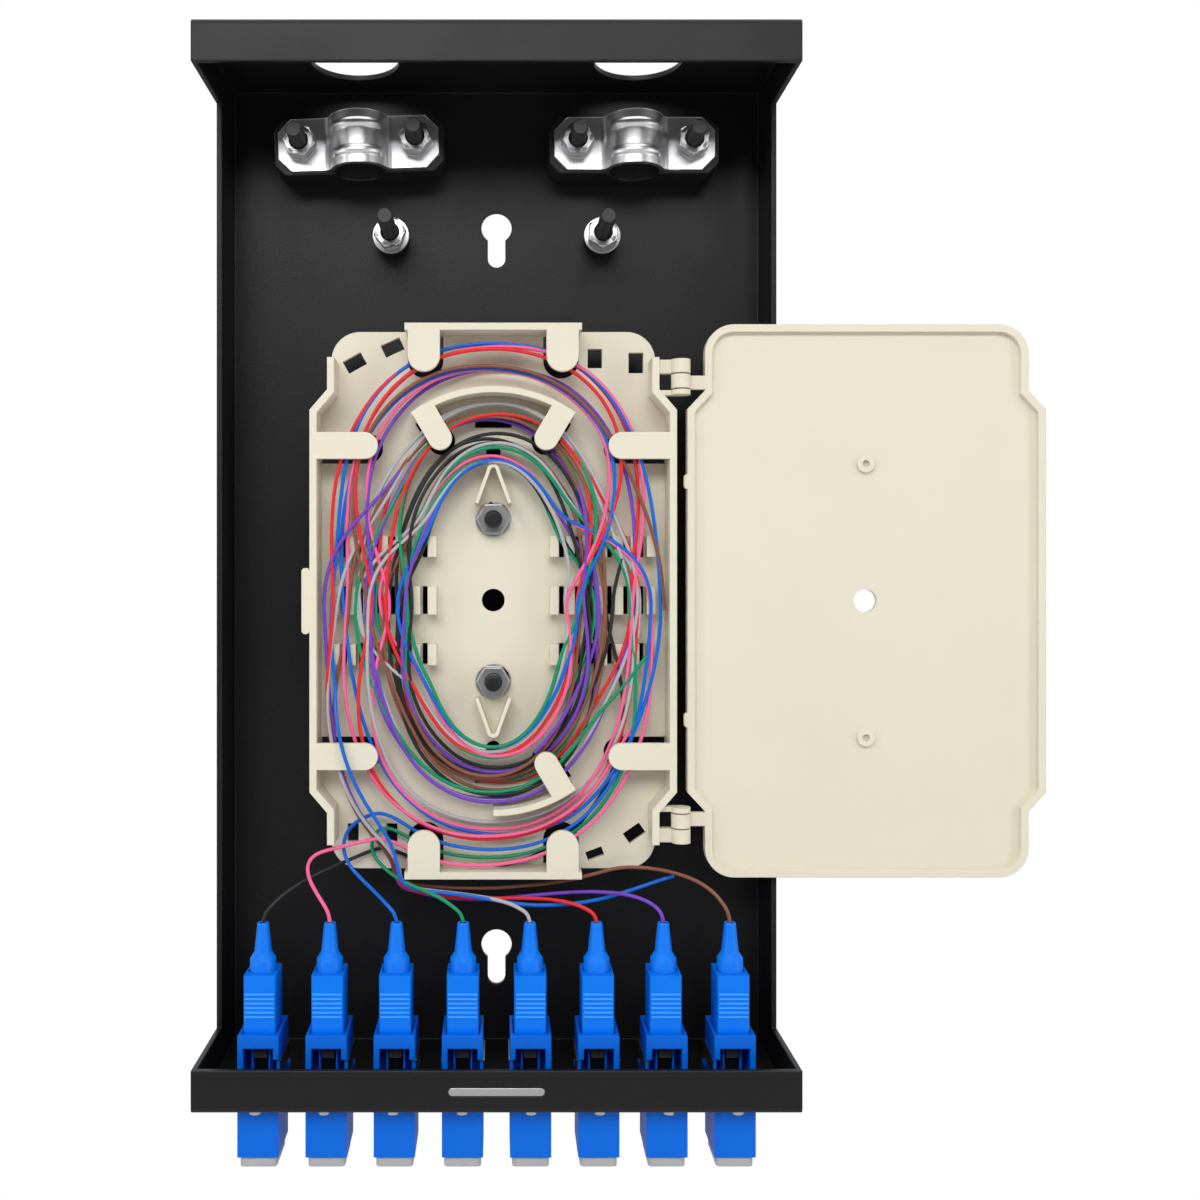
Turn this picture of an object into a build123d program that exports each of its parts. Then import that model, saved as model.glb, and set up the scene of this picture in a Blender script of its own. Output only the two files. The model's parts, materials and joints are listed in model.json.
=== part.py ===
from build123d import *
import math
import os

# Fibre termination box: a wall-hung steel enclosure with a splice tray, two cable clamps
# and a row of eight adapters with their plugs, dust caps and pigtails.
# Millimetres. X is right, Z is up and the front faces -Y. The origin is the centre of the
# rear face. A height is measured from the inner face of the back plate towards the front.

os.makedirs("parts", exist_ok=True)

# Enclosure
case_width = 136.0
case_height = 244.0
sheet = 1.2
lip_height_out = 40.0          # front face of the lips
side_wall_height = 15.0        # low side walls beside the tray
lip_width = 9.7                # lips at the top and bottom
bend_inside = 0.3

# Keyholes in the back plate
key_head_radius = 3.87
key_slot_width = 4.45
key_drop = 7.9                 # from the head's centre to the slot's end centre
key_upper_drop = 35.7          # from the top of the case to the upper head
key_lower_rise = 25.3          # from the bottom of the case to the lower head

# Cable entries and clamps
entry_x = 34.0
entry_radius = 10.5
entry_height = 18.5
clamp_drop = 18.0              # from the top of the case
clamp_turn_left = 2.0          # the left clamp sits slightly askew
clamp_length = 42.0
clamp_width = 14.0
clamp_base_height = 10.0
clamp_corner = 2.6
clamp_bore_radius = 6.0
saddle_length = 39.5
saddle_width = 12.9
saddle_sheet = 1.2
saddle_corner = 3.2
bead_height = 0.6
bead_half_width = 1.2
bead_offset = 3.4
clamp_stud_pitch = 28.3
clamp_stud_tip = 22.6

# M4 hardware
m4_radius = 2.0
m4_root_radius = 1.6           # below the free thread of the tie posts
m4_hole_radius = 2.25
m4_nut_flats = 7.0
m4_nut_height = 3.2
m4_washer_radius = 4.6
m4_washer_thickness = 0.8
stud_chamfer = 0.5

# Tie posts for the cables' strength members
tie_x = 26.5
tie_drop = 39.1                # from the top of the case
tie_boss_radius = 4.4
tie_boss_height = 5.0
tie_stud_tip = 23.0

# Splice tray, in its own u and v from the tray's centre
tray_x = -0.8
tray_z = -8.4
tray_floor_top = 12.0
tray_floor = 1.5
tray_wall_top = 20.0
tray_wall = 1.7
tray_half_width = 43.9
tray_corner_half_width = 39.7
tray_half_height = 65.8
end_wall_overhang = 0.7        # the end walls stand out from the floor's ends
tray_end_wall_half = 21.2
tray_side_half = 45.7          # long straight of each side wall
tray_chamfer_top = 50.6
tray_corner_wall_top = 58.3
tray_corner_radius = 7.0
tab_thickness = 1.5
end_tab_width = 7.7
end_tab_u = 16.6
end_tab_reach = 54.9
side_tab_width = 6.4
side_tab_v = 37.2
side_tab_reach = 27.6
window_margin = 0.5
guide_radius = 34.0
guide_top = 51.4
guide_wall = 1.5
guide_half_angle = 35.5
finger_angle = 30.5
finger_width = 5.7
finger_tip_radius = 22.2
vee_apex = 32.6
vee_foot = 23.5
vee_half_width = 4.0
vee_wall = 0.85
vee_top = 17.5
comb_first = 14.8
comb_pitch = 3.9
comb_count = 7
comb_rib = 2.1
comb_top = 16.4
comb_rows = [(13.1, 5.1), (0.0, 6.8), (-13.1, 5.1)]     # centre and length of each row
comb_gap = 1.2
stop_hole_radius = 2.8
pin_hole_radius = 1.8
pin_hole_v = 36.3
slot_hole_v = 43.6
slot_hole_length = 9.0
slot_hole_width = 2.6
corner_windows = [             # centre u, centre v, length, width, turn in degrees
    (-34.0, 58.2, 5.0, 3.3, 29.0),
    (-24.7, 62.0, 5.0, 3.2, 25.0),
    (24.9, 59.3, 3.5, 4.7, 0.0),
    (35.0, 58.2, 3.6, 5.0, 0.0),
    (-34.4, -57.0, 2.7, 4.4, 0.0),
    (-24.9, -57.1, 2.7, 4.6, 0.0),
    (34.6, -57.2, 4.8, 3.0, 35.0),
    (24.9, -62.2, 4.2, 2.2, 20.0),
]
thumb_half = 7.9
thumb_reach = 1.9
thumb_bottom = 16.5

# Tray fixings
tray_stud_v = 19.8
tray_stud_tip = 19.4
spacer_radius = 4.0
nut_flange_radius = 4.4
nut_flange = 0.8

# Hinge and lid
hinge_reach = 1.0              # from the tray's side to the hinge's axis
hinge_height = 19.2
knuckle_radius = 2.3
pin_radius = 1.1
pin_clearance = 0.05
knuckle_width = 3.3
knuckle_gap = 0.35
knuckle_v = 57.8               # outer end of each tray knuckle
cradle_width = 1.2
arm_thickness = 2.2
lid_clearance = 0.3
lid_inset = 0.8                # how far the lid's sides stand inside the tray's
lid_overhang = 0.7             # how far its ends stand past the tray's floor
lid_side_extra = 0.4
lid_corner_radius = 7.0
lid_rim = 1.8
lid_rim_height = 1.4
lid_plate = 1.4
lid_boss_v = 33.0
lid_boss_radius = 2.1
lid_boss_hole = 0.85
lid_boss_height = 1.0
lid_nub_v = 28.7
lid_nub_length = 3.6
lid_nub_reach = 0.8

# Adapter row
adapter_count = 8
adapter_pitch = 15.5
adapter_height = 27.6          # height of the adapters' axis
adapter_width = 9.4
adapter_depth = 12.8
adapter_rise = 15.2            # from the bottom of the case to the adapters' tops
adapter_length = 27.7
port_width = 7.93
port_depth = 9.6
ear_length = 22.0
ear_thickness = 1.8
screw_pitch = 18.0
window_width = 6.8
window_drop = 3.0
short_leg = 2.5                # how far the shorter leg stands below the window's head
web_thickness = 1.8
holder_radius = 2.4
holder_length = 14.0
latch_gap = 3.5                # between the two latch blades in a port
latch_blade = 0.4
latch_depth = 5.6
latch_length = 21.1            # both ports together
sleeve_radius = 1.6
sleeve_length = 11.4
sleeve_clearance = 0.05
sleeve_slit = 0.5
ferrule_radius = 1.25
ferrule_clearance = 0.02
clip_sheet = 0.3
clip_width = 3.0
clip_drop = 6.0                # from the adapter's top to the clip
panel_clearance = 0.15
m2_radius = 1.0
m2_head_radius = 1.45
m2_head_height = 1.1
m2_tip = 4.6                   # screw length above the flange's seat
m2_nut_flats = 4.0
m2_nut_height = 1.6

# Plugs
grip_width = 7.33
grip_depth = 9.0
grip_rise = 13.0               # from an adapter's top to the grip's top
grip_length = 16.0
grip_travel = 1.5              # how far a grip slides back to unlatch
grip_neck = 4.5                # depth of the round neck round the boot's collar
grip_corner = 0.3
grip_rib_pitch = 1.03
grip_rib_count = 6
grip_rib = 0.45
grip_rib_rise = 0.25
grip_rib_drop = 6.8            # from the grip's top to the ribs' middle
core_width = 4.9
core_depth = 6.7
core_length = 14.8
nose_length = 4.2              # slimmer end of the core, below the grip
nose_side_gap = 0.25           # from the nose to the latch blades
slide_clearance = 0.3
collar_radius = 3.0
collar_rise = 3.0              # from the grip's top
boot_shoulder_radius = 2.0
boot_shoulder_length = 1.2
boot_tip_radius = 1.3
boot_taper_length = 6.8
fibre_diameter = 0.9

# Dust caps
cap_head_width = 8.45
cap_head_depth = 11.4
cap_head_height = 2.1
cap_skirt_length = 8.0
cap_wall = 0.8
cap_corner = 1.0

# Strip in the bottom lip
strip_length = 21.6
strip_width = 1.9
strip_rise = 5.0               # from the bottom of the case

# Fibre coil in the tray
coil_side_gap = 0.8            # from the turns to the tray's side walls
coil_half_height = 62.0
coil_end_radius = 36.0
coil_inner_half_width = 19.5
coil_inner_half_height = 37.5
coil_inner_end_radius = 17.0
coil_bottom = 16.6
coil_top = 18.2
coil_clearance = 0.35
bundle_left = -27.5
bundle_right = -21.8
bundle_low = -63.5
bundle_high = -48.0
bundle_bottom = 12.4
bundle_top = 18.9

bend_outside = bend_inside + sheet
case_depth = sheet + lip_height_out
inner_depth = lip_height_out - sheet
half_height = case_height / 2
lip_edge = half_height - lip_width
clamp_z = half_height - clamp_drop
tie_z = half_height - tie_drop
strip_z = -half_height + strip_rise
tray_end_wall_out = tray_half_height + end_wall_overhang
hinge_u = tray_half_width + hinge_reach
lid_half_width = tray_half_width - lid_inset
lid_corner_half_width = tray_corner_half_width - lid_inset
lid_half_height = tray_half_height + lid_overhang
lid_side_half = tray_side_half + lid_side_extra
adapter_top = -half_height + adapter_rise
grip_top = adapter_top + grip_rise
grip_bottom = grip_top - grip_length
collar_top = grip_top + collar_rise
boot_shoulder_z = collar_top + boot_shoulder_length
boot_tip_z = boot_shoulder_z + boot_taper_length
coil_half_width = tray_half_width - tray_wall - coil_side_gap
adapter_xs = [(i - (adapter_count - 1) / 2) * adapter_pitch for i in range(adapter_count)]


def at_height(height):
    """Plane parallel to the back plate, facing the front, with x right and y up."""
    return Plane.XZ.offset(sheet + height)


def tray_plane(height):
    """The same, with its origin at the tray's centre."""
    return Plane((tray_x, -(sheet + height), tray_z), x_dir=(1, 0, 0), z_dir=(0, -1, 0))


def clamp_plane(side, height):
    """The same, with its origin at the left (-1) or right (+1) clamp and turned with it."""
    turn = math.radians(clamp_turn_left) if side < 0 else 0.0
    return Plane((side * entry_x, -(sheet + height), clamp_z),
                 x_dir=(math.cos(turn), 0, math.sin(turn)), z_dir=(0, -1, 0))


def row_plane(x, z):
    """Level plane at an adapter's axis, with x right and y to the rear."""
    return Plane((x, -(sheet + adapter_height), z), x_dir=(1, 0, 0), z_dir=(0, 0, 1))


def save(builder, label):
    builder.part.label = label
    export_step(builder.part, "parts/" + label + ".step")


def stud_group(planes, length, radius, root_length=0.0, root_radius=0.0):
    """Upright studs with a chamfered tip, one on each plane, on a thinner root if one is given."""
    with BuildPart() as studs:
        for plane in planes:
            if root_length > 0:
                with BuildSketch(plane):
                    Circle(root_radius)
                extrude(amount=root_length)
            with BuildSketch(plane.offset(root_length)):
                Circle(radius)
            extrude(amount=length - root_length)
        tips = studs.edges().filter_by(GeomType.CIRCLE).group_by(Axis.Y)[0]
        chamfer(tips, stud_chamfer)
    return studs


def ring_group(planes, thickness, outer, inner):
    """Washers or spacers, one on each plane."""
    with BuildPart() as rings:
        for plane in planes:
            with BuildSketch(plane):
                Circle(outer)
                Circle(inner, mode=Mode.SUBTRACT)
            extrude(amount=thickness)
    return rings


def nut_group(planes, height, flats, bore, flange_radius=0.0, flange_thickness=0.0):
    """Hexagon nuts with a bore, one on each plane, on a flange where one is given."""
    with BuildPart() as nuts:
        for plane in planes:
            if flange_radius > 0:
                with BuildSketch(plane):
                    Circle(flange_radius)
                    Circle(bore, mode=Mode.SUBTRACT)
                extrude(amount=flange_thickness)
            with BuildSketch(plane.offset(flange_thickness)):
                RegularPolygon(flats / 2, 6, major_radius=False)
                Circle(bore, mode=Mode.SUBTRACT)
            extrude(amount=height - flange_thickness)
    return nuts


def keyhole(z):
    """Keyhole outline in the open sketch: a round head with a slot below it."""
    with Locations((0, z)):
        Circle(key_head_radius)
    with Locations((0, z - key_drop / 2)):
        Rectangle(key_slot_width, key_drop)
    with Locations((0, z - key_drop)):
        Circle(key_slot_width / 2)


# Enclosure: one folded sheet with welded corners
with BuildPart() as enclosure:
    with BuildSketch(Plane.XZ):
        Rectangle(case_width, case_height)
    extrude(amount=case_depth)
    rear_edges = enclosure.edges().group_by(Axis.Y)[-1]
    lip_edges = enclosure.edges().group_by(Axis.Y)[0].filter_by(Axis.X)
    fillet(rear_edges + lip_edges, bend_outside)
    with BuildSketch(at_height(0)):
        Rectangle(case_width - 2 * sheet, case_height - 2 * sheet)
    extrude(amount=inner_depth, mode=Mode.SUBTRACT)
    with BuildSketch(at_height(side_wall_height)):
        Rectangle(case_width + 2 * sheet, 2 * lip_edge)
    extrude(amount=lip_height_out, mode=Mode.SUBTRACT)
    with BuildSketch(at_height(0)):
        keyhole(half_height - key_upper_drop)
        keyhole(-half_height + key_lower_rise)
    extrude(amount=-sheet, mode=Mode.SUBTRACT)
    with BuildSketch(Plane.XY.offset(half_height)):
        with Locations((-entry_x, -(sheet + entry_height)), (entry_x, -(sheet + entry_height))):
            Circle(entry_radius)
    extrude(amount=-sheet, mode=Mode.SUBTRACT)
    with BuildSketch(Plane.XY.offset(-half_height)):
        for x in adapter_xs:
            with Locations((x, -(sheet + adapter_height))):
                Rectangle(adapter_width + 2 * panel_clearance, adapter_depth + 2 * panel_clearance)
            with Locations((x, -(sheet + adapter_height) - screw_pitch / 2),
                           (x, -(sheet + adapter_height) + screw_pitch / 2)):
                Circle(m2_radius + panel_clearance)
    extrude(amount=sheet, mode=Mode.SUBTRACT)
    with BuildSketch(at_height(lip_height_out)):
        with Locations((0, strip_z)):
            SlotOverall(strip_length, strip_width)
    extrude(amount=-sheet, mode=Mode.SUBTRACT)
save(enclosure, "enclosure")

with BuildPart() as lip_strip:
    with BuildSketch(at_height(inner_depth)):
        with Locations((0, strip_z)):
            SlotOverall(strip_length, strip_width)
    extrude(amount=sheet)
save(lip_strip, "lip_strip")

# Cable clamps: a moulded base with a half-round trough under a stamped saddle
clamp_arch = clamp_bore_radius + saddle_sheet
for side, word in ((-1, "left"), (1, "right")):
    seat = clamp_plane(side, clamp_base_height)
    stud_places = [(-clamp_stud_pitch / 2, 0), (clamp_stud_pitch / 2, 0)]
    end_face = Plane(seat.from_local_coords((0, -clamp_width / 2, 0)), x_dir=seat.x_dir,
                     z_dir=-seat.y_dir)
    with BuildPart() as clamp_base:
        with BuildSketch(clamp_plane(side, 0)):
            Rectangle(clamp_length, clamp_width)
        extrude(amount=clamp_base_height)
        chamfer(clamp_base.edges().filter_by(Axis.Y), clamp_corner)
        with BuildSketch(end_face):
            Circle(clamp_bore_radius)
        extrude(amount=-clamp_width, mode=Mode.SUBTRACT)
        with BuildSketch(seat):
            with Locations(*stud_places):
                Circle(m4_hole_radius)
        extrude(amount=-clamp_base_height, mode=Mode.SUBTRACT)
    save(clamp_base, "clamp_base_" + word)

    # The arch is turned about the bore with its two beads, and the ears run out from it
    with BuildPart() as saddle:
        with BuildSketch(seat):
            Rectangle(saddle_length, saddle_width)
            chamfer(vertices(), saddle_corner)
            Rectangle(2 * clamp_bore_radius, saddle_width, mode=Mode.SUBTRACT)
            with Locations(*stud_places):
                Circle(m4_hole_radius, mode=Mode.SUBTRACT)
        extrude(amount=saddle_sheet)
        with BuildSketch(seat):
            with BuildLine():
                half = saddle_width / 2
                low = bead_offset - bead_half_width
                high = bead_offset + bead_half_width
                crest = clamp_arch + bead_height
                Polyline((clamp_arch, low), (clamp_arch, -low))
                ThreePointArc((clamp_arch, -low), (crest, -bead_offset), (clamp_arch, -high))
                Polyline((clamp_arch, -high), (clamp_arch, -half), (clamp_bore_radius, -half),
                         (clamp_bore_radius, half), (clamp_arch, half), (clamp_arch, high))
                ThreePointArc((clamp_arch, high), (crest, bead_offset), (clamp_arch, low))
            make_face()
        revolve(axis=Axis(seat.origin, seat.y_dir), revolution_arc=-180)
    save(saddle, "clamp_saddle_" + word)

clamp_washer_planes = []
clamp_stud_planes = []
for side in (-1, 1):
    for place in (-clamp_stud_pitch / 2, clamp_stud_pitch / 2):
        origin = clamp_plane(side, 0).from_local_coords((place, 0, 0))
        foot = Plane(origin, x_dir=(1, 0, 0), z_dir=(0, -1, 0))
        clamp_stud_planes.append(foot)
        clamp_washer_planes.append(foot.offset(clamp_base_height + saddle_sheet))
save(stud_group(clamp_stud_planes, clamp_stud_tip, m4_radius), "clamp_studs")
save(ring_group(clamp_washer_planes, m4_washer_thickness, m4_washer_radius, m4_hole_radius),
     "clamp_washers")
save(nut_group([plane.offset(m4_washer_thickness) for plane in clamp_washer_planes],
               m4_nut_height, m4_nut_flats, m4_radius), "clamp_nuts")

# Tie posts
tie_planes = [Plane((x, -sheet, tie_z), x_dir=(1, 0, 0), z_dir=(0, -1, 0)) for x in (-tie_x, tie_x)]
tie_seats = [plane.offset(tie_boss_height) for plane in tie_planes]
tie_grip = tie_boss_height + m4_washer_thickness + m4_nut_height
save(ring_group(tie_planes, tie_boss_height, tie_boss_radius, m4_root_radius), "tie_bosses")
save(stud_group(tie_planes, tie_stud_tip, m4_radius, tie_grip, m4_root_radius), "tie_studs")
save(ring_group(tie_seats, m4_washer_thickness, m4_washer_radius, m4_hole_radius), "tie_washers")
save(nut_group([plane.offset(m4_washer_thickness) for plane in tie_seats],
               m4_nut_height, m4_nut_flats, m4_root_radius), "tie_nuts")


def tray_outline(half, corner_half, side_half, chamfer_top, corner_top, top, radius):
    """Closed outline of the tray's floor or lid: wide sides, chamfers and rounded corners."""
    with BuildLine() as outline:
        Polyline((half, -side_half), (half, side_half), (corner_half, chamfer_top),
                 (corner_half, corner_top))
        TangentArc((corner_half, corner_top), (corner_half - radius, top), tangent=(0, 1))
        Line((corner_half - radius, top), (radius - corner_half, top))
        TangentArc((radius - corner_half, top), (-corner_half, corner_top), tangent=(-1, 0))
        Polyline((-corner_half, corner_top), (-corner_half, chamfer_top), (-half, side_half),
                 (-half, -side_half), (-corner_half, -chamfer_top), (-corner_half, -corner_top))
        TangentArc((-corner_half, -corner_top), (radius - corner_half, -top), tangent=(0, -1))
        Line((radius - corner_half, -top), (corner_half - radius, -top))
        TangentArc((corner_half - radius, -top), (corner_half, -corner_top), tangent=(1, 0))
        Polyline((corner_half, -corner_top), (corner_half, -chamfer_top), (half, -side_half))
    make_face(outline.edges())


def side_wall(sign):
    """Outline of one long side wall with its chamfers and short corner walls."""
    inner_half = tray_half_width - tray_wall
    inner_corner = tray_corner_half_width - tray_wall
    inner_side = tray_side_half - tray_wall * 0.4
    inner_chamfer = tray_chamfer_top - tray_wall * 0.4
    with BuildLine() as outline:
        Polyline((sign * tray_corner_half_width, tray_corner_wall_top),
                 (sign * tray_corner_half_width, tray_chamfer_top),
                 (sign * tray_half_width, tray_side_half),
                 (sign * tray_half_width, -tray_side_half),
                 (sign * tray_corner_half_width, -tray_chamfer_top),
                 (sign * tray_corner_half_width, -tray_corner_wall_top),
                 (sign * inner_corner, -tray_corner_wall_top),
                 (sign * inner_corner, -inner_chamfer),
                 (sign * inner_half, -inner_side),
                 (sign * inner_half, inner_side),
                 (sign * inner_corner, inner_chamfer),
                 (sign * inner_corner, tray_corner_wall_top), close=True)
    make_face(outline.edges())


def end_tab(u_sign, v_sign, grow):
    """Outline of a tab on an end wall, with a full round at its tip."""
    width = end_tab_width + 2 * grow
    reach = end_tab_reach - grow
    root = tray_end_wall_out if grow == 0 else tray_end_wall_out - tray_wall
    tip_centre = reach + width / 2
    with Locations((u_sign * end_tab_u, v_sign * (root + tip_centre) / 2)):
        Rectangle(width, root - tip_centre)
    with Locations((u_sign * end_tab_u, v_sign * tip_centre)):
        Circle(width / 2)


def side_tab(u_sign, v_sign, grow):
    """Outline of a tab on a side wall, with a full round at its tip."""
    width = side_tab_width + 2 * grow
    reach = side_tab_reach - grow
    root = tray_half_width if grow == 0 else tray_half_width - tray_wall
    tip_centre = reach + width / 2
    with Locations((u_sign * (root + tip_centre) / 2, v_sign * side_tab_v)):
        Rectangle(root - tip_centre, width)
    with Locations((u_sign * tip_centre, v_sign * side_tab_v)):
        Circle(width / 2)


def guide_arc(v_sign, start, end, grow=0.0):
    """Outline of a curved guide wall, between two angles from the tray's long axis."""
    outer = guide_radius + grow
    inner = guide_radius - guide_wall - grow
    centre_v = guide_top - guide_radius
    angles = [start, (start + end) / 2, end]

    def point(radius, angle):
        turn = math.radians(angle)
        return (radius * math.sin(turn), v_sign * (centre_v + radius * math.cos(turn)))

    with BuildLine() as outline:
        ThreePointArc(*[point(outer, a) for a in angles])
        Line(point(outer, end), point(inner, end))
        ThreePointArc(*[point(inner, a) for a in reversed(angles)])
        Line(point(inner, start), point(outer, start))
    make_face(outline.edges())


def finger(u_sign, v_sign, grow=0.0):
    """Outline of a finger that points from a guide's end towards its centre."""
    centre_v = guide_top - guide_radius
    turn = math.radians(finger_angle)
    width = finger_width + 2 * grow
    tip = finger_tip_radius + width / 2 - grow
    root = guide_radius - guide_wall / 2 if grow == 0 else guide_radius - guide_wall - grow
    lean = -u_sign * v_sign * finger_angle
    middle = (root + tip) / 2
    with Locations(Location((u_sign * middle * math.sin(turn),
                             v_sign * (centre_v + middle * math.cos(turn))), (0, 0, lean))):
        Rectangle(width, root - tip)
    with Locations((u_sign * tip * math.sin(turn), v_sign * (centre_v + tip * math.cos(turn)))):
        Circle(width / 2)


def vee(v_sign):
    """Outline of a thin wall bent into a V, open towards the tray's middle."""
    foot = vee_half_width
    bend = vee_half_width * 0.28
    with BuildLine() as path:
        Line((-foot, v_sign * vee_foot), (-bend, v_sign * (vee_apex - bend)))
        ThreePointArc((-bend, v_sign * (vee_apex - bend)), (0, v_sign * vee_apex),
                      (bend, v_sign * (vee_apex - bend)))
        Line((bend, v_sign * (vee_apex - bend)), (foot, v_sign * vee_foot))
    return path


guide_spans = [(1, -guide_half_angle, guide_half_angle), (-1, 0.0, guide_half_angle)]
fingers = [(-1, 1), (1, 1), (1, -1)]
ends = [(-1, 1), (1, 1), (-1, -1), (1, -1)]
comb_centres = [comb_first + i * comb_pitch for i in range(comb_count)]
tray_depth = tray_wall_top - tray_floor_top

# Splice tray: one moulding
with BuildPart() as splice_tray:
    with BuildSketch(tray_plane(tray_floor_top - tray_floor)):
        tray_outline(tray_half_width, tray_corner_half_width, tray_side_half, tray_chamfer_top,
                     tray_half_height - tray_corner_radius, tray_half_height, tray_corner_radius)
        Rectangle(2 * tray_end_wall_half, 2 * tray_end_wall_out)
    extrude(amount=tray_floor)
    with BuildSketch(tray_plane(tray_floor_top)):
        side_wall(-1)
        side_wall(1)
        for sign in (-1, 1):
            with Locations((0, sign * (tray_end_wall_out - tray_wall / 2))):
                Rectangle(2 * tray_end_wall_half, tray_wall)
    extrude(amount=tray_depth)
    with BuildSketch(tray_plane(tray_floor_top)):
        for v_sign, start, end in guide_spans:
            guide_arc(v_sign, start, end)
    extrude(amount=tray_depth)
    with BuildSketch(tray_plane(tray_wall_top - tab_thickness)):
        for u_sign, v_sign in ends:
            end_tab(u_sign, v_sign, 0)
            side_tab(u_sign, v_sign, 0)
        for u_sign, v_sign in fingers:
            finger(u_sign, v_sign)
    extrude(amount=tab_thickness)
    # Openings that the mould needs under each tab and finger
    with BuildSketch(tray_plane(tray_floor_top)):
        for u_sign, v_sign in ends:
            end_tab(u_sign, v_sign, window_margin)
            side_tab(u_sign, v_sign, window_margin)
        for u_sign, v_sign in fingers:
            finger(u_sign, v_sign, window_margin)
        for u, v, length, width, turn in corner_windows:
            with Locations(Location((u, v), (0, 0, turn))):
                Rectangle(length, width)
        for v_sign in (-1, 1):
            with Locations((0, v_sign * pin_hole_v)):
                Circle(pin_hole_radius)
            with Locations((0, v_sign * slot_hole_v)):
                Rectangle(slot_hole_length, slot_hole_width)
            with Locations((0, v_sign * tray_stud_v)):
                Circle(m4_hole_radius)
        Circle(stop_hole_radius)
    extrude(amount=-tray_floor, mode=Mode.SUBTRACT)
    # Splice combs with an opening in the floor between each two ribs
    with BuildSketch(tray_plane(tray_floor_top)):
        for row, length in comb_rows:
            for sign in (-1, 1):
                for centre in comb_centres:
                    with Locations((sign * centre, row)):
                        Rectangle(comb_rib, length)
    extrude(amount=comb_top - tray_floor_top)
    with BuildSketch(tray_plane(tray_floor_top)):
        for row, length in comb_rows:
            for sign in (-1, 1):
                for centre in comb_centres[:-1]:
                    with Locations((sign * (centre + comb_pitch / 2), row)):
                        Rectangle(comb_gap, length)
    extrude(amount=-tray_floor, mode=Mode.SUBTRACT)
    with BuildSketch(tray_plane(tray_floor_top)):
        for v_sign in (-1, 1):
            trace(vee(v_sign).line, line_width=vee_wall)
    extrude(amount=vee_top - tray_floor_top)
    with BuildSketch(tray_plane(thumb_bottom)):
        with Locations((-tray_half_width - thumb_reach / 2, 0)):
            RectangleRounded(thumb_reach, 2 * thumb_half, thumb_reach * 0.45)
        with Locations((-tray_half_width, 0)):
            Rectangle(thumb_reach, 2 * thumb_half - thumb_reach)
    extrude(amount=tray_wall_top - thumb_bottom)
    # Hinge arms: a knuckle with a bore, and a narrow cradle beyond the lid's knuckle
    for v_sign in (-1, 1):
        for start, width in ((knuckle_v, knuckle_width),
                             (knuckle_v - 2 * knuckle_width - 2 * knuckle_gap, cradle_width)):
            centre = v_sign * (start - width / 2)
            axis_point = (tray_x + hinge_u, -(sheet + hinge_height), tray_z + centre)
            knuckle_plane = Plane(axis_point, x_dir=(1, 0, 0), z_dir=(0, 0, 1)).offset(-width / 2)
            arm_length = hinge_u - tray_corner_half_width + tray_wall / 2
            with BuildSketch(knuckle_plane):
                Circle(knuckle_radius)
                with Locations((-arm_length / 2, knuckle_radius - arm_thickness / 2)):
                    Rectangle(arm_length, arm_thickness)
            extrude(amount=width)
            with BuildSketch(knuckle_plane):
                Circle(pin_radius + pin_clearance)
            extrude(amount=width, mode=Mode.SUBTRACT)
save(splice_tray, "splice_tray")

tray_stud_planes = [Plane((tray_x, -sheet, tray_z + v), x_dir=(1, 0, 0), z_dir=(0, -1, 0))
                    for v in (tray_stud_v, -tray_stud_v)]
tray_seats = [plane.offset(tray_floor_top) for plane in tray_stud_planes]
save(stud_group(tray_stud_planes, tray_stud_tip, m4_radius), "tray_studs")
save(ring_group(tray_stud_planes, tray_floor_top - tray_floor, spacer_radius, m4_radius),
     "tray_spacers")
save(nut_group(tray_seats, m4_nut_height, m4_nut_flats, m4_radius, nut_flange_radius, nut_flange),
     "tray_nuts")

# Tray lid, open flat beside the tray, its inside to the front
lid_u = 2 * hinge_u
lid_face = 2 * hinge_height - tray_wall_top - lid_clearance        # height of the open rim
lid_inside = lid_face - lid_rim_height
lid_back = lid_inside - lid_plate


def lid_plane(height):
    """Plane at the open lid's centre."""
    return Plane((tray_x + lid_u, -(sheet + height), tray_z), x_dir=(1, 0, 0), z_dir=(0, -1, 0))


def lid_outline(inset):
    tray_outline(lid_half_width - inset, lid_corner_half_width - inset, lid_side_half - inset * 0.4,
                 tray_chamfer_top - inset * 0.4, lid_half_height - lid_corner_radius,
                 lid_half_height - inset, lid_corner_radius - inset)


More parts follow.
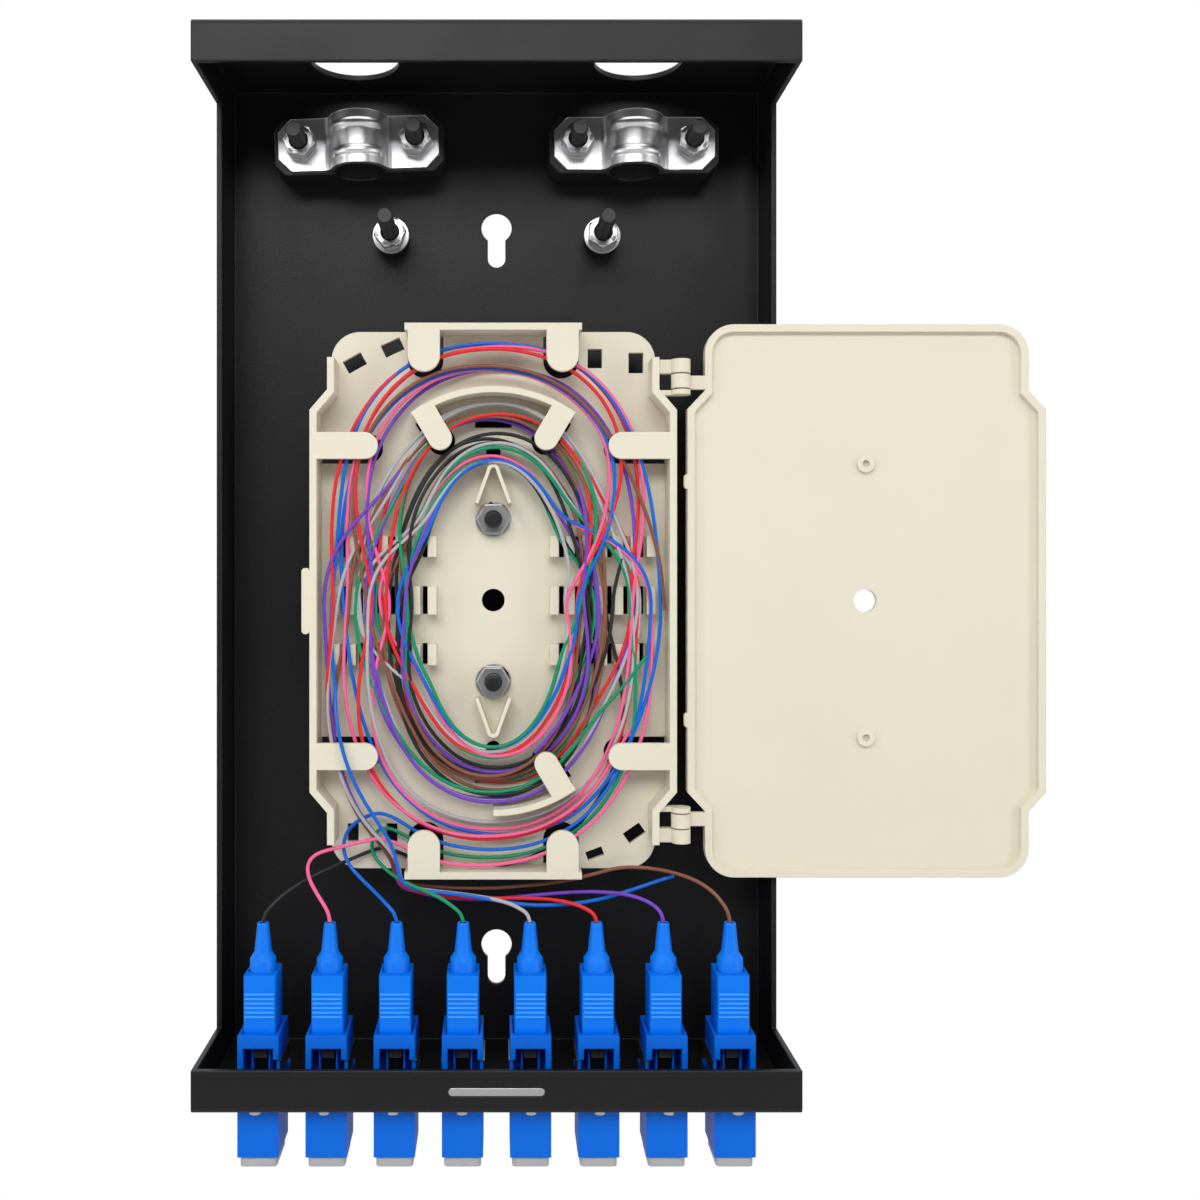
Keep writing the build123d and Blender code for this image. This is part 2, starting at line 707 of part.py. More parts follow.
with BuildPart() as tray_lid:
    with BuildSketch(lid_plane(lid_back)):
        lid_outline(0)
    extrude(amount=lid_face - lid_back)
    with BuildSketch(lid_plane(lid_inside)):
        lid_outline(lid_rim)
    extrude(amount=lid_rim_height, mode=Mode.SUBTRACT)
    with BuildSketch(lid_plane(lid_inside)):
        with Locations((0, lid_boss_v), (0, -lid_boss_v)):
            Circle(lid_boss_radius)
    extrude(amount=lid_boss_height)
    with BuildSketch(lid_plane(lid_inside + lid_boss_height)):
        with Locations((0, lid_boss_v), (0, -lid_boss_v)):
            Circle(lid_boss_hole)
    extrude(amount=-lid_boss_height, mode=Mode.SUBTRACT)
    with BuildSketch(lid_plane(lid_inside)):
        Circle(stop_hole_radius)
    extrude(amount=-lid_plate, mode=Mode.SUBTRACT)
    with BuildSketch(lid_plane(lid_inside)):
        with Locations((-lid_half_width, lid_nub_v), (-lid_half_width, -lid_nub_v)):
            SlotOverall(lid_nub_length, 2 * lid_nub_reach, rotation=90)
    extrude(amount=lid_rim_height)
    # Hinge arms with the moulded pins that run in the tray's knuckles
    for v_sign in (-1, 1):
        outer_v = knuckle_v - knuckle_width - knuckle_gap
        centre = v_sign * (outer_v - knuckle_width / 2)
        axis_point = (tray_x + hinge_u, -(sheet + hinge_height), tray_z + centre)
        middle = Plane(axis_point, x_dir=(1, 0, 0), z_dir=(0, 0, 1))
        arm_length = lid_u - lid_corner_half_width - hinge_u + lid_rim / 2
        arm_low = hinge_height - lid_face
        with BuildSketch(middle.offset(-knuckle_width / 2)):
            Circle(knuckle_radius)
            with Locations((arm_length / 2, arm_low + lid_rim_height / 2)):
                Rectangle(arm_length, lid_rim_height)
        extrude(amount=knuckle_width)
        pin_out = knuckle_width / 2 + knuckle_gap + knuckle_width
        pin_in = knuckle_width / 2 + knuckle_gap + cradle_width
        pin_start = -pin_in if v_sign > 0 else -pin_out
        with BuildSketch(middle.offset(pin_start)):
            Circle(pin_radius)
        extrude(amount=pin_out + pin_in)
save(tray_lid, "tray_lid")

# Adapter row
row_y = -(sheet + adapter_height)
adapter_middle = adapter_top - adapter_length / 2
flange_seat = -half_height + sheet
port_wall = (adapter_depth - port_depth) / 2


for number, x in enumerate(adapter_xs, start=1):
    short_side = 1 if x < 0 else -1
    with BuildPart() as adapter:
        with BuildSketch(row_plane(x, adapter_top - adapter_length)):
            Rectangle(adapter_width, adapter_depth)
        extrude(amount=adapter_length)
        with BuildSketch(row_plane(x, flange_seat)):
            Rectangle(adapter_width, ear_length)
        extrude(amount=ear_thickness)
        # The port runs right through, apart from a web that carries the sleeve's holder
        with BuildSketch(row_plane(x, adapter_top - adapter_length)):
            Rectangle(port_width, port_depth)
        extrude(amount=adapter_length, mode=Mode.SUBTRACT)
        with BuildSketch(row_plane(x, adapter_middle - web_thickness / 2)):
            Rectangle(adapter_width, adapter_depth)
        extrude(amount=web_thickness)
        with BuildSketch(row_plane(x, adapter_middle - holder_length / 2)):
            Circle(holder_radius)
        extrude(amount=holder_length)
        # Two latch blades stand along each port, beside the plug's nose
        with BuildSketch(row_plane(x, adapter_middle - latch_length / 2)):
            with GridLocations(latch_gap + latch_blade, 1, 2, 1):
                Rectangle(latch_blade, latch_depth)
        extrude(amount=latch_length)
        with BuildSketch(row_plane(x, adapter_middle - holder_length / 2)):
            Circle(sleeve_radius + sleeve_clearance)
        extrude(amount=holder_length, mode=Mode.SUBTRACT)
        # Window in the front wall, open down to the flange, with one leg cut short
        window_bottom = flange_seat + ear_thickness
        window_top = adapter_top - window_drop
        front = Plane((x, row_y - adapter_depth / 2, (window_top + window_bottom) / 2),
                      x_dir=(1, 0, 0), z_dir=(0, -1, 0))
        with BuildSketch(front):
            Rectangle(window_width, window_top - window_bottom)
            leg_width = (adapter_width - window_width) / 2
            leg_height = window_top - window_bottom - short_leg
            with Locations((short_side * (adapter_width - leg_width) / 2, -short_leg / 2)):
                Rectangle(leg_width, leg_height)
        extrude(amount=-port_wall, mode=Mode.SUBTRACT)
        with BuildSketch(row_plane(x, flange_seat)):
            with Locations((0, -screw_pitch / 2), (0, screw_pitch / 2)):
                Circle(m2_radius + panel_clearance)
        extrude(amount=ear_thickness, mode=Mode.SUBTRACT)
    save(adapter, f"adapter_{number}")

with BuildPart() as adapter_clips:
    clip_top = adapter_top - clip_drop
    for x in adapter_xs:
        with BuildSketch(row_plane(x, clip_top - clip_width)):
            clip_depth = adapter_depth + clip_sheet - port_wall
            clip_y = (port_wall + clip_sheet) / 2
            with Locations((0, clip_y)):
                Rectangle(adapter_width + 2 * clip_sheet, clip_depth)
            with Locations((0, clip_y - clip_sheet)):
                Rectangle(adapter_width, clip_depth, mode=Mode.SUBTRACT)
        extrude(amount=clip_width)
save(adapter_clips, "adapter_clips")

with BuildPart() as adapter_sleeves:
    for x in adapter_xs:
        with BuildSketch(row_plane(x, adapter_middle - sleeve_length / 2)):
            Circle(sleeve_radius)
            Circle(ferrule_radius + ferrule_clearance, mode=Mode.SUBTRACT)
            with Locations((0, sleeve_radius)):
                Rectangle(sleeve_slit, 2 * sleeve_radius, mode=Mode.SUBTRACT)
        extrude(amount=sleeve_length)
save(adapter_sleeves, "adapter_sleeves")

with BuildPart() as adapter_screws:
    for x in adapter_xs:
        for offset in (-screw_pitch / 2, screw_pitch / 2):
            under = Plane((x, row_y + offset, -half_height), x_dir=(1, 0, 0), z_dir=(0, 0, 1))
            with BuildSketch(under):
                Circle(m2_radius)
            extrude(amount=sheet + m2_tip)
            with BuildSketch(under):
                Circle(m2_head_radius)
            extrude(amount=-m2_head_height)
save(adapter_screws, "adapter_screws")

with BuildPart() as adapter_nuts:
    for x in adapter_xs:
        for offset in (-screw_pitch / 2, screw_pitch / 2):
            with BuildSketch(Plane((x, row_y + offset, flange_seat + ear_thickness),
                                   x_dir=(1, 0, 0), z_dir=(0, 0, 1))):
                RegularPolygon(m2_nut_flats / 2, 6, major_radius=False)
                Circle(m2_radius, mode=Mode.SUBTRACT)
            extrude(amount=m2_nut_height)
save(adapter_nuts, "adapter_nuts")

# Plugs: a grip that slides on the plug frame, with the boot behind it
core_top = grip_top - grip_neck
for number, x in enumerate(adapter_xs, start=1):
    with BuildPart() as grip:
        with BuildSketch(row_plane(x, grip_bottom)):
            Rectangle(grip_width, grip_depth)
        extrude(amount=grip_top - grip_bottom)
        chamfer(grip.edges().filter_by(Axis.Z), grip_corner)
        with BuildSketch(row_plane(x, grip_bottom)):
            Rectangle(core_width + 2 * slide_clearance, core_depth + 2 * slide_clearance)
        extrude(amount=core_top + slide_clearance - grip_bottom, mode=Mode.SUBTRACT)
        with BuildSketch(row_plane(x, core_top - grip_travel - slide_clearance)):
            Circle(collar_radius + slide_clearance)
        extrude(amount=grip_neck + grip_travel + slide_clearance, mode=Mode.SUBTRACT)
        # Finger ribs across the front and the back
        for sign in (-1, 1):
            face_y = row_y + sign * grip_depth / 2
            face = Plane((x, face_y, grip_top - grip_rib_drop), x_dir=(1, 0, 0), z_dir=(0, sign, 0))
            with BuildSketch(face):
                with GridLocations(0, grip_rib_pitch, 1, grip_rib_count):
                    Rectangle(grip_width - 2 * grip_corner, grip_rib)
            extrude(amount=grip_rib_rise)
    save(grip, f"plug_grip_{number}")

with BuildPart() as plug_cores:
    for x in adapter_xs:
        with BuildSketch(row_plane(x, core_top - core_length)):
            Rectangle(latch_gap - 2 * nose_side_gap, core_depth)
        extrude(amount=nose_length)
        with BuildSketch(row_plane(x, core_top - core_length + nose_length)):
            Rectangle(core_width, core_depth)
        extrude(amount=core_length - nose_length)
save(plug_cores, "plug_cores")

with BuildPart() as plug_ferrules:
    for x in adapter_xs:
        with BuildSketch(row_plane(x, adapter_middle)):
            Circle(ferrule_radius)
        extrude(amount=core_top - core_length - adapter_middle)
save(plug_ferrules, "plug_ferrules")

with BuildPart() as plug_boots:
    for x in adapter_xs:
        with BuildSketch(Plane((x, row_y, 0), x_dir=(1, 0, 0), z_dir=(0, -1, 0))):
            Polygon((0, core_top), (collar_radius, core_top), (collar_radius, collar_top),
                    (boot_shoulder_radius, boot_shoulder_z), (boot_tip_radius, boot_tip_z),
                    (0, boot_tip_z), align=None)
        revolve(axis=Axis((x, row_y, 0), (0, 0, 1)))
save(plug_boots, "plug_boots")

# Dust caps in the outer ports
cap_top = adapter_top - adapter_length - slide_clearance
skirt_width = port_width - 2 * slide_clearance
skirt_depth = port_depth - 2 * slide_clearance
for number, x in enumerate(adapter_xs, start=1):
    with BuildPart() as cap:
        with BuildSketch(row_plane(x, cap_top - cap_head_height)):
            RectangleRounded(cap_head_width, cap_head_depth, cap_corner)
        extrude(amount=cap_head_height)
        with BuildSketch(row_plane(x, cap_top)):
            Rectangle(skirt_width, skirt_depth)
        extrude(amount=cap_skirt_length)
        with BuildSketch(row_plane(x, cap_top - cap_head_height + cap_wall)):
            Rectangle(skirt_width - 2 * cap_wall, skirt_depth - 2 * cap_wall)
        extrude(amount=cap_head_height - cap_wall + cap_skirt_length, mode=Mode.SUBTRACT)
    save(cap, f"dust_cap_{number}")


def oval(half_w, half_h, end_radius):
    """Oval of four tangent arcs: two ends of one radius joined by two long sides."""
    centre_v = half_h - end_radius
    side_radius = (centre_v ** 2 + half_w ** 2 - end_radius ** 2) / (2 * (half_w - end_radius))
    lean = math.atan2(centre_v, side_radius - half_w)
    join = (end_radius * math.cos(lean), centre_v + end_radius * math.sin(lean))
    corners = [(1, 1), (-1, 1), (-1, -1), (1, -1)]
    joins = [(su * join[0], sv * join[1]) for su, sv in corners]
    with BuildLine() as outline:
        ThreePointArc(joins[0], (0, half_h), joins[1])
        ThreePointArc(joins[1], (-half_w, 0), joins[2])
        ThreePointArc(joins[2], (0, -half_h), joins[3])
        ThreePointArc(joins[3], (half_w, 0), joins[0])
    return make_face(outline.edges(), mode=Mode.PRIVATE)


# All the fibre turns in the tray as one flat ring, round the guides, with the bundle that
# the pigtails join at the tray's lower left corner
with BuildPart() as fibre_coil:
    with BuildSketch(tray_plane(coil_bottom)):
        add(oval(coil_half_width, coil_half_height, coil_end_radius))
        add(oval(coil_inner_half_width, coil_inner_half_height, coil_inner_end_radius),
            mode=Mode.SUBTRACT)
    extrude(amount=coil_top - coil_bottom)
    with BuildSketch(tray_plane(bundle_bottom)):
        with Locations(((bundle_left + bundle_right) / 2, (bundle_low + bundle_high) / 2)):
            Rectangle(bundle_right - bundle_left, bundle_high - bundle_low)
    extrude(amount=bundle_top - bundle_bottom)
    with BuildSketch(tray_plane(coil_bottom)):
        for v_sign, start, end in guide_spans:
            margin = math.degrees(coil_clearance / (guide_radius - guide_wall))
            guide_arc_cut = (start - margin, end + margin)
            guide_arc(v_sign, *guide_arc_cut, grow=coil_clearance)
    extrude(amount=coil_top - coil_bottom, mode=Mode.SUBTRACT)
save(fibre_coil, "fibre_coil")

# The stretches of fibre that aren't coiled, as points in x, z and height
fibre_routes = {
    "black": [
        (-54.25, -82.8, 27.6), (-54.25, -80.6, 27.6), (-53.4, -78.9, 26.5), (-51.0, -77.4, 24.0),
        (-47.2, -76.0, 20.2), (-42.4, -74.4, 16.6), (-37.2, -72.5, 14.0), (-31.7, -70.4, 13.2),
        (-26.8, -68.5, 13.2)],
    "pink": [
        (-38.75, -82.8, 27.6), (-38.75, -80.4, 27.6), (-39.7, -78.2, 27.0), (-42.0, -76.0, 25.4),
        (-44.4, -73.6, 22.8), (-45.0, -71.0, 20.4), (-43.0, -68.9, 18.9), (-39.0, -67.9, 18.4),
        (-32.8, -66.4, 18.2), (-26.8, -65.0, 18.2)],
    "blue": [
        (-23.25, -82.8, 27.6), (-23.25, -80.6, 27.6), (-24.0, -78.7, 26.9), (-26.5, -77.5, 25.0),
        (-30.6, -76.9, 21.9), (-34.4, -75.2, 18.8), (-36.9, -71.9, 16.6), (-37.1, -67.8, 15.5),
        (-35.1, -63.9, 15.4), (-31.3, -60.8, 15.4), (-26.8, -59.5, 15.4)],
    "green": [
        (-7.75, -82.8, 27.6), (-7.75, -80.6, 27.6), (-8.6, -78.8, 27.0), (-11.0, -77.8, 25.5),
        (-15.4, -77.3, 23.4), (-20.4, -77.1, 21.3), (-25.5, -76.1, 19.2), (-29.4, -73.5, 16.2),
        (-31.2, -69.8, 14.7), (-30.3, -65.7, 14.4), (-26.8, -62.8, 14.4)],
    "slate": [
        (7.75, -82.8, 27.6), (7.75, -80.7, 27.6), (7.0, -78.9, 26.9), (5.2, -77.9, 25.4),
        (1.6, -77.7, 23.2), (-3.6, -78.3, 20.8), (-10.2, -79.0, 19.2), (-17.2, -78.5, 18.4),
        (-23.7, -76.7, 18.4), (-23.2, -70.4, 18.4)],
    "red": [
        (23.25, -82.8, 27.6), (23.25, -80.7, 27.6), (22.4, -78.8, 26.8), (20.6, -78.0, 25.2),
        (16.4, -78.2, 22.6), (10.4, -79.2, 20.0), (3.6, -79.9, 18.2), (-3.2, -80.1, 17.3),
        (-10.0, -80.0, 17.2), (-17.0, -79.1, 17.2), (-24.1, -77.1, 17.2), (-23.5, -70.6, 17.2)],
    "violet": [
        (38.75, -82.8, 27.6), (38.75, -80.7, 27.6), (37.9, -78.8, 26.8), (36.1, -77.9, 25.2),
        (32.2, -77.7, 22.6), (26.4, -78.4, 19.6), (19.6, -79.4, 17.3), (12.0, -80.4, 16.1),
        (4.4, -81.0, 16.0), (-3.4, -81.2, 16.0), (-10.8, -80.8, 16.0), (-17.6, -79.6, 16.0),
        (-24.5, -77.5, 16.0), (-23.8, -70.9, 16.0)],
    "brown": [
        (54.25, -82.8, 27.6), (54.25, -80.6, 27.6), (53.5, -78.6, 27.0), (51.4, -77.0, 25.7),
        (47.7, -75.9, 23.2), (42.8, -74.4, 19.5), (36.9, -73.0, 16.4), (30.0, -73.3, 14.9),
        (23.2, -75.5, 14.8), (15.4, -77.0, 14.8), (6.6, -77.8, 14.8), (-2.2, -78.4, 14.8),
        (-11.0, -78.5, 14.8), (-18.6, -77.6, 14.8), (-24.9, -76.2, 14.8), (-25.2, -71.2, 14.8)],
    "blue_tail": [
        (-38.9, -29.0, 17.4), (-38.7, -33.4, 18.6), (-38.0, -38.4, 20.2), (-36.7, -44.0, 20.9),
        (-34.6, -50.2, 20.9), (-31.6, -56.2, 20.6), (-28.1, -61.6, 20.1), (-25.2, -66.3, 19.7),
        (-23.9, -70.6, 19.6), (-23.3, -74.6, 19.6), (-21.2, -76.7, 19.9), (-17.8, -77.5, 20.4),
        (-12.6, -77.7, 21.2), (-6.4, -78.1, 22.3), (-0.2, -79.0, 23.3), (5.8, -79.9, 23.5),
        (11.6, -80.3, 22.8), (17.0, -80.4, 21.4), (22.0, -80.2, 19.8), (26.6, -79.7, 18.2),
        (31.0, -78.7, 17.0), (35.4, -77.5, 16.2), (39.4, -76.2, 15.8), (43.0, -75.1, 15.8)],
}


def corner_radii(points):
    """Each corner's radius: 0.45 of its shorter run, divided by the tangent of half its turn."""
    radii = []
    for before, corner, after in zip(points, points[1:], points[2:]):
        turn = (corner - before).get_angle(after - corner)
        run = min((corner - before).length, (after - corner).length)
        radii.append(0.45 * run / math.tan(math.radians(turn / 2)))
    return radii


for colour, route in fibre_routes.items():
    points = [Vector(x, -(sheet + height), z) for x, z, height in route]
    radii = corner_radii(points)
    with BuildPart() as fibre:
        with BuildLine() as path:
            FilletPolyline(*points, radius=radii)
        with BuildSketch(Plane(points[0], z_dir=points[1] - points[0])):
            Circle(fibre_diameter / 2)
        sweep(path=path.wires()[0])
    section = math.pi * fibre_diameter ** 2 / 4
    print("fibre", colour, "length", round(path.wires()[0].length, 1), "smallest radius",
          round(min(radii), 2), "volume over section times length",
          round(fibre.part.volume / (section * path.wires()[0].length), 4))
    save(fibre, "fibre_" + colour)
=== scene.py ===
import json
import math
import bmesh
import bpy
import numpy as np
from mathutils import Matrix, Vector

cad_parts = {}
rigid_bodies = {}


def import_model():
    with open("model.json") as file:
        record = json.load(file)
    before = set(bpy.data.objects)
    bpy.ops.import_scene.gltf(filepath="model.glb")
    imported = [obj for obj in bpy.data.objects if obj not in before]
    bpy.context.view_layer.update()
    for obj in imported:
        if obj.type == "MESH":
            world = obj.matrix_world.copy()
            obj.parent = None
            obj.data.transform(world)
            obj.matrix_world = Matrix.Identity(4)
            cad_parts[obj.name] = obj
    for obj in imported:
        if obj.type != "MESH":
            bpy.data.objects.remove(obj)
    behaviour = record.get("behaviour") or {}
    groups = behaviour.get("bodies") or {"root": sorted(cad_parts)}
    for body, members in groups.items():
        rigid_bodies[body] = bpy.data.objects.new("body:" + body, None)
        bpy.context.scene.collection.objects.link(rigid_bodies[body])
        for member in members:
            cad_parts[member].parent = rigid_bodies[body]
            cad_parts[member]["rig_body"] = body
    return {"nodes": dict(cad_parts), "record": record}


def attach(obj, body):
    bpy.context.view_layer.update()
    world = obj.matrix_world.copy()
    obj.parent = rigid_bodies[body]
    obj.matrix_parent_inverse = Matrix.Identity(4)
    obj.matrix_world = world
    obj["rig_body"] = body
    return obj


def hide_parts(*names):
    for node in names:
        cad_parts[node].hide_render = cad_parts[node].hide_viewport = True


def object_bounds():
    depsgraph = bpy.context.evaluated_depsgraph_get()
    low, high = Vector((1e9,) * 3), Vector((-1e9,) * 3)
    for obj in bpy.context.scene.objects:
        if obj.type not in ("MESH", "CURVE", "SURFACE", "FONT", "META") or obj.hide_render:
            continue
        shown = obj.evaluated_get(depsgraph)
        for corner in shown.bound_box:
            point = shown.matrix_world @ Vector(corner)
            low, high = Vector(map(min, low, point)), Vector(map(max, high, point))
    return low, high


# Fibre termination box, in metres. X is right, Z is up and the open front faces -Y.
# A height is measured from the inner face of the back plate, so y = -(sheet + height).
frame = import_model()
cadLow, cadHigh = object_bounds()
nodes = frame["nodes"]
mm = 0.001
sheet = 1.2 * mm

print("stage: camera and light")
view = {
    "height": 308 * mm,        # the eye's height above the back plate
    "lens": 36.18,
    "sensor": 36.0,
    "shift": (0.0862, -0.0284),
}


def makeCamera():
    data = bpy.data.cameras.new("viewCamera")
    data.lens = view["lens"]
    data.sensor_width = view["sensor"]
    data.shift_x, data.shift_y = view["shift"]
    data.clip_start = 0.01
    eye = bpy.data.objects.new("viewCamera", data)
    eye.location = (0, -(sheet + view["height"]), 0)
    eye.rotation_euler = (math.pi / 2, 0, 0)
    bpy.context.scene.collection.objects.link(eye)
    bpy.context.scene.camera = eye
    bpy.context.scene.view_settings.view_transform = "Standard"


lamps = {                      # where it stands, aim, size, watts
    "keyLamp": ((-0.1, -0.74, 0.44), (0, 0, 0), (0.75, 0.30), 4.6),
    "fillLamp": ((0.75, -0.5, 0.1), (0, 0, 0), (0.3, 0.8), 2.0),
    "sideLamp": ((-0.7, -0.45, 0.1), (0, 0, 0), (0.25, 0.7), 1.5),
    "topLamp": ((0.0, -0.15, 0.7), (0, 0, 0), (0.8, 0.2), 1.4),
    "lowLamp": ((-0.1, -0.5, -0.75), (0, 0, 0), (0.7, 0.25), 1.2),
}
surround = {
    "strength": 0.24,          # of the plain light on everything
    "room": 0.12,              # how bright a reflection is towards the camera's side
    "fade": (-0.75, 0.15),     # the direction's y between which it grows from that to white
    "floorDrop": 0.17,
    "floorSize": 3.0,
    "floorColour": (0.86, 0.86, 0.86, 1),
    "floorRoughness": 0.9,
}


def makeLamps():
    for name, (spot, aim, size, watts) in lamps.items():
        data = bpy.data.lights.new(name, "AREA")
        data.shape = "RECTANGLE"
        data.size, data.size_y = size
        data.energy = watts
        lamp = bpy.data.objects.new(name, data)
        lamp.location = spot
        lamp.rotation_euler = (Vector(aim) - Vector(spot)).to_track_quat("-Z", "Y").to_euler()
        bpy.context.scene.collection.objects.link(lamp)


def joined(tree, kind, **values):
    # A node of that kind, with the given sockets filled or linked.
    node = tree.nodes.new(kind)
    for key, value in values.items():
        name = key.replace("_", " ")
        if name in node.inputs:
            if isinstance(value, bpy.types.NodeSocket):
                tree.links.new(value, node.inputs[name])
            else:
                node.inputs[name].default_value = value
        else:
            setattr(node, key, value)
    return node


def mathNode(tree, operation, first, second=None, clamp=False):
    node = tree.nodes.new("ShaderNodeMath")
    node.operation = operation
    node.use_clamp = clamp
    for socket, value in zip(node.inputs, (first, second)):
        if isinstance(value, bpy.types.NodeSocket):
            tree.links.new(value, socket)
        elif value is not None:
            socket.default_value = value
    return node.outputs[0]


def anyOf(tree, names):
    # 1 for a ray of any of the named kinds.
    path = tree.nodes.new("ShaderNodeLightPath")
    total = path.outputs[names[0]]
    for name in names[1:]:
        total = mathNode(tree, "MAXIMUM", total, path.outputs[name])
    return total


def makeSurround():
    # White behind the object; reflections darken towards the room behind the camera, and
    # everything else gets a plain soft light.
    world = bpy.data.worlds.new("whiteSurround")
    world.use_nodes = True
    tree = world.node_tree
    ground = tree.nodes["Background"]
    where = joined(tree, "ShaderNodeTexCoord").outputs["Generated"]
    along = joined(tree, "ShaderNodeSeparateXYZ", Vector=where).outputs["Y"]
    ramp = tree.nodes.new("ShaderNodeMapRange")
    ramp.interpolation_type = "SMOOTHSTEP"
    tree.links.new(along, ramp.inputs["Value"])
    ramp.inputs["From Min"].default_value, ramp.inputs["From Max"].default_value = surround["fade"]
    ramp.inputs["To Min"].default_value = surround["room"]
    ramp.inputs["To Max"].default_value = 1.0
    level = tree.nodes.new("ShaderNodeMix")
    level.inputs["A"].default_value = surround["strength"]
    tree.links.new(anyOf(tree, ["Is Glossy Ray"]), level.inputs["Factor"])
    tree.links.new(ramp.outputs["Result"], level.inputs["B"])
    seen = anyOf(tree, ["Is Camera Ray", "Is Transmission Ray"])
    tree.links.new(mathNode(tree, "MAXIMUM", level.outputs["Result"], seen), ground.inputs["Strength"])
    ground.inputs["Color"].default_value = (1, 1, 1, 1)
    bpy.context.scene.world = world


def makeFloor():
    size = surround["floorSize"]
    mesh = bpy.data.meshes.new("floor")
    low = float(cadLow[2]) - surround["floorDrop"]
    corners = [(-size, -size, low), (size, -size, low), (size, size, low), (-size, size, low)]
    mesh.from_pydata(corners, [], [(0, 1, 2, 3)])
    floor = bpy.data.objects.new("floor", mesh)
    bpy.context.scene.collection.objects.link(floor)
    paint = bpy.data.materials.new("floorPaint")
    paint.use_nodes = True
    tree = paint.node_tree
    shader = tree.nodes["Principled BSDF"]
    shader.inputs["Base Color"].default_value = surround["floorColour"]
    shader.inputs["Roughness"].default_value = surround["floorRoughness"]
    white = joined(tree, "ShaderNodeEmission", Color=(1, 1, 1, 1), Strength=1.0)
    mixed = joined(tree, "ShaderNodeMixShader", Fac=anyOf(tree, ["Is Camera Ray", "Is Transmission Ray"]))
    tree.links.new(shader.outputs[0], mixed.inputs[1])
    tree.links.new(white.outputs[0], mixed.inputs[2])
    tree.links.new(mixed.outputs[0], tree.nodes["Material Output"].inputs["Surface"])
    mesh.materials.append(paint)


makeCamera()
makeLamps()
makeSurround()
makeFloor()

print("stage: fibres")
fibre = {
    "diameter": 0.9 * mm,
    "length": 1.0,
    "trayCentre": (-0.8 * mm, -8.4 * mm),      # x and z
    "pointsPerTurn": 30,
    "curveSteps": 5,
    "curveSides": 3,
    "inner": (17.2 * mm, 35.0 * mm),           # half width and half height of the tightest oval
    "outer": (41.2 * mm, 62.4 * mm),
    "squareness": (2.1, 0.35),                 # power of the tightest oval, and its growth outwards
    "innerShift": (-0.2 * mm, -0.8 * mm),      # from the tray's centre to the tightest oval's
    "overCombs": (16.95 * mm, 18.2 * mm),      # lowest and highest at the tray's sides
    "atEnds": (12.9 * mm, 18.1 * mm),          # and round its ends
    "lanes": {              # free lanes at the right, top, left and bottom, and their share of passes
        0: [(0.0, 1.0, 1.0)], 1: [(0.0, 0.50, 0.68), (0.75, 1.0, 0.32)],
        2: [(0.0, 1.0, 1.0)], 3: [(0.0, 0.50, 0.60), (0.70, 1.0, 0.40)]},
    "leastGap": 0.5,                           # between lanes, against a mean uneven gap of
    "unevenGap": 0.7,
    "entryWish": 1.5,                          # a wish wider than any lane, where a fibre comes in
    "onTop": 0.75,                             # the passes in laneOrder lie above this share of the height
    "keepLane": 0.36,                          # share of a quarter turn over which a lane is kept
    "keepHeight": 0.4,                         # and a height
    "join": 70.0,                              # degrees over which a fibre finds its lane
    "wobble": 0.05,                            # how far it strays from its lane
    "wobblesPerTurn": 2.3,
    "steadyLane": 0.02,                        # no fibre strays from a lane inside this one
    "guideReach": 0.80,                        # sine of the angle at which a guide wall ends
}
# which fibres lie innermost and outermost where all pass the right, top, left and bottom
laneOrder = {
    0: (["red", "slate", "pink", "red", "blue", "violet", "green"], ["blue", "brown"]),
    1: (["black", "green", "blue", "slate", "violet", "pink", "slate", "green"],
        ["black", "red", "blue", "pink", "green", "red", "brown"]),
    2: (["violet", "black", "violet", "green", "red", "green", "blue"], ["violet", "brown", "red"]),
    3: (["green", "blue", "slate", "pink", "red", "red", "green", "violet", "blue"],
        ["red", "pink", "green", "slate", "blue", "brown"]),
}
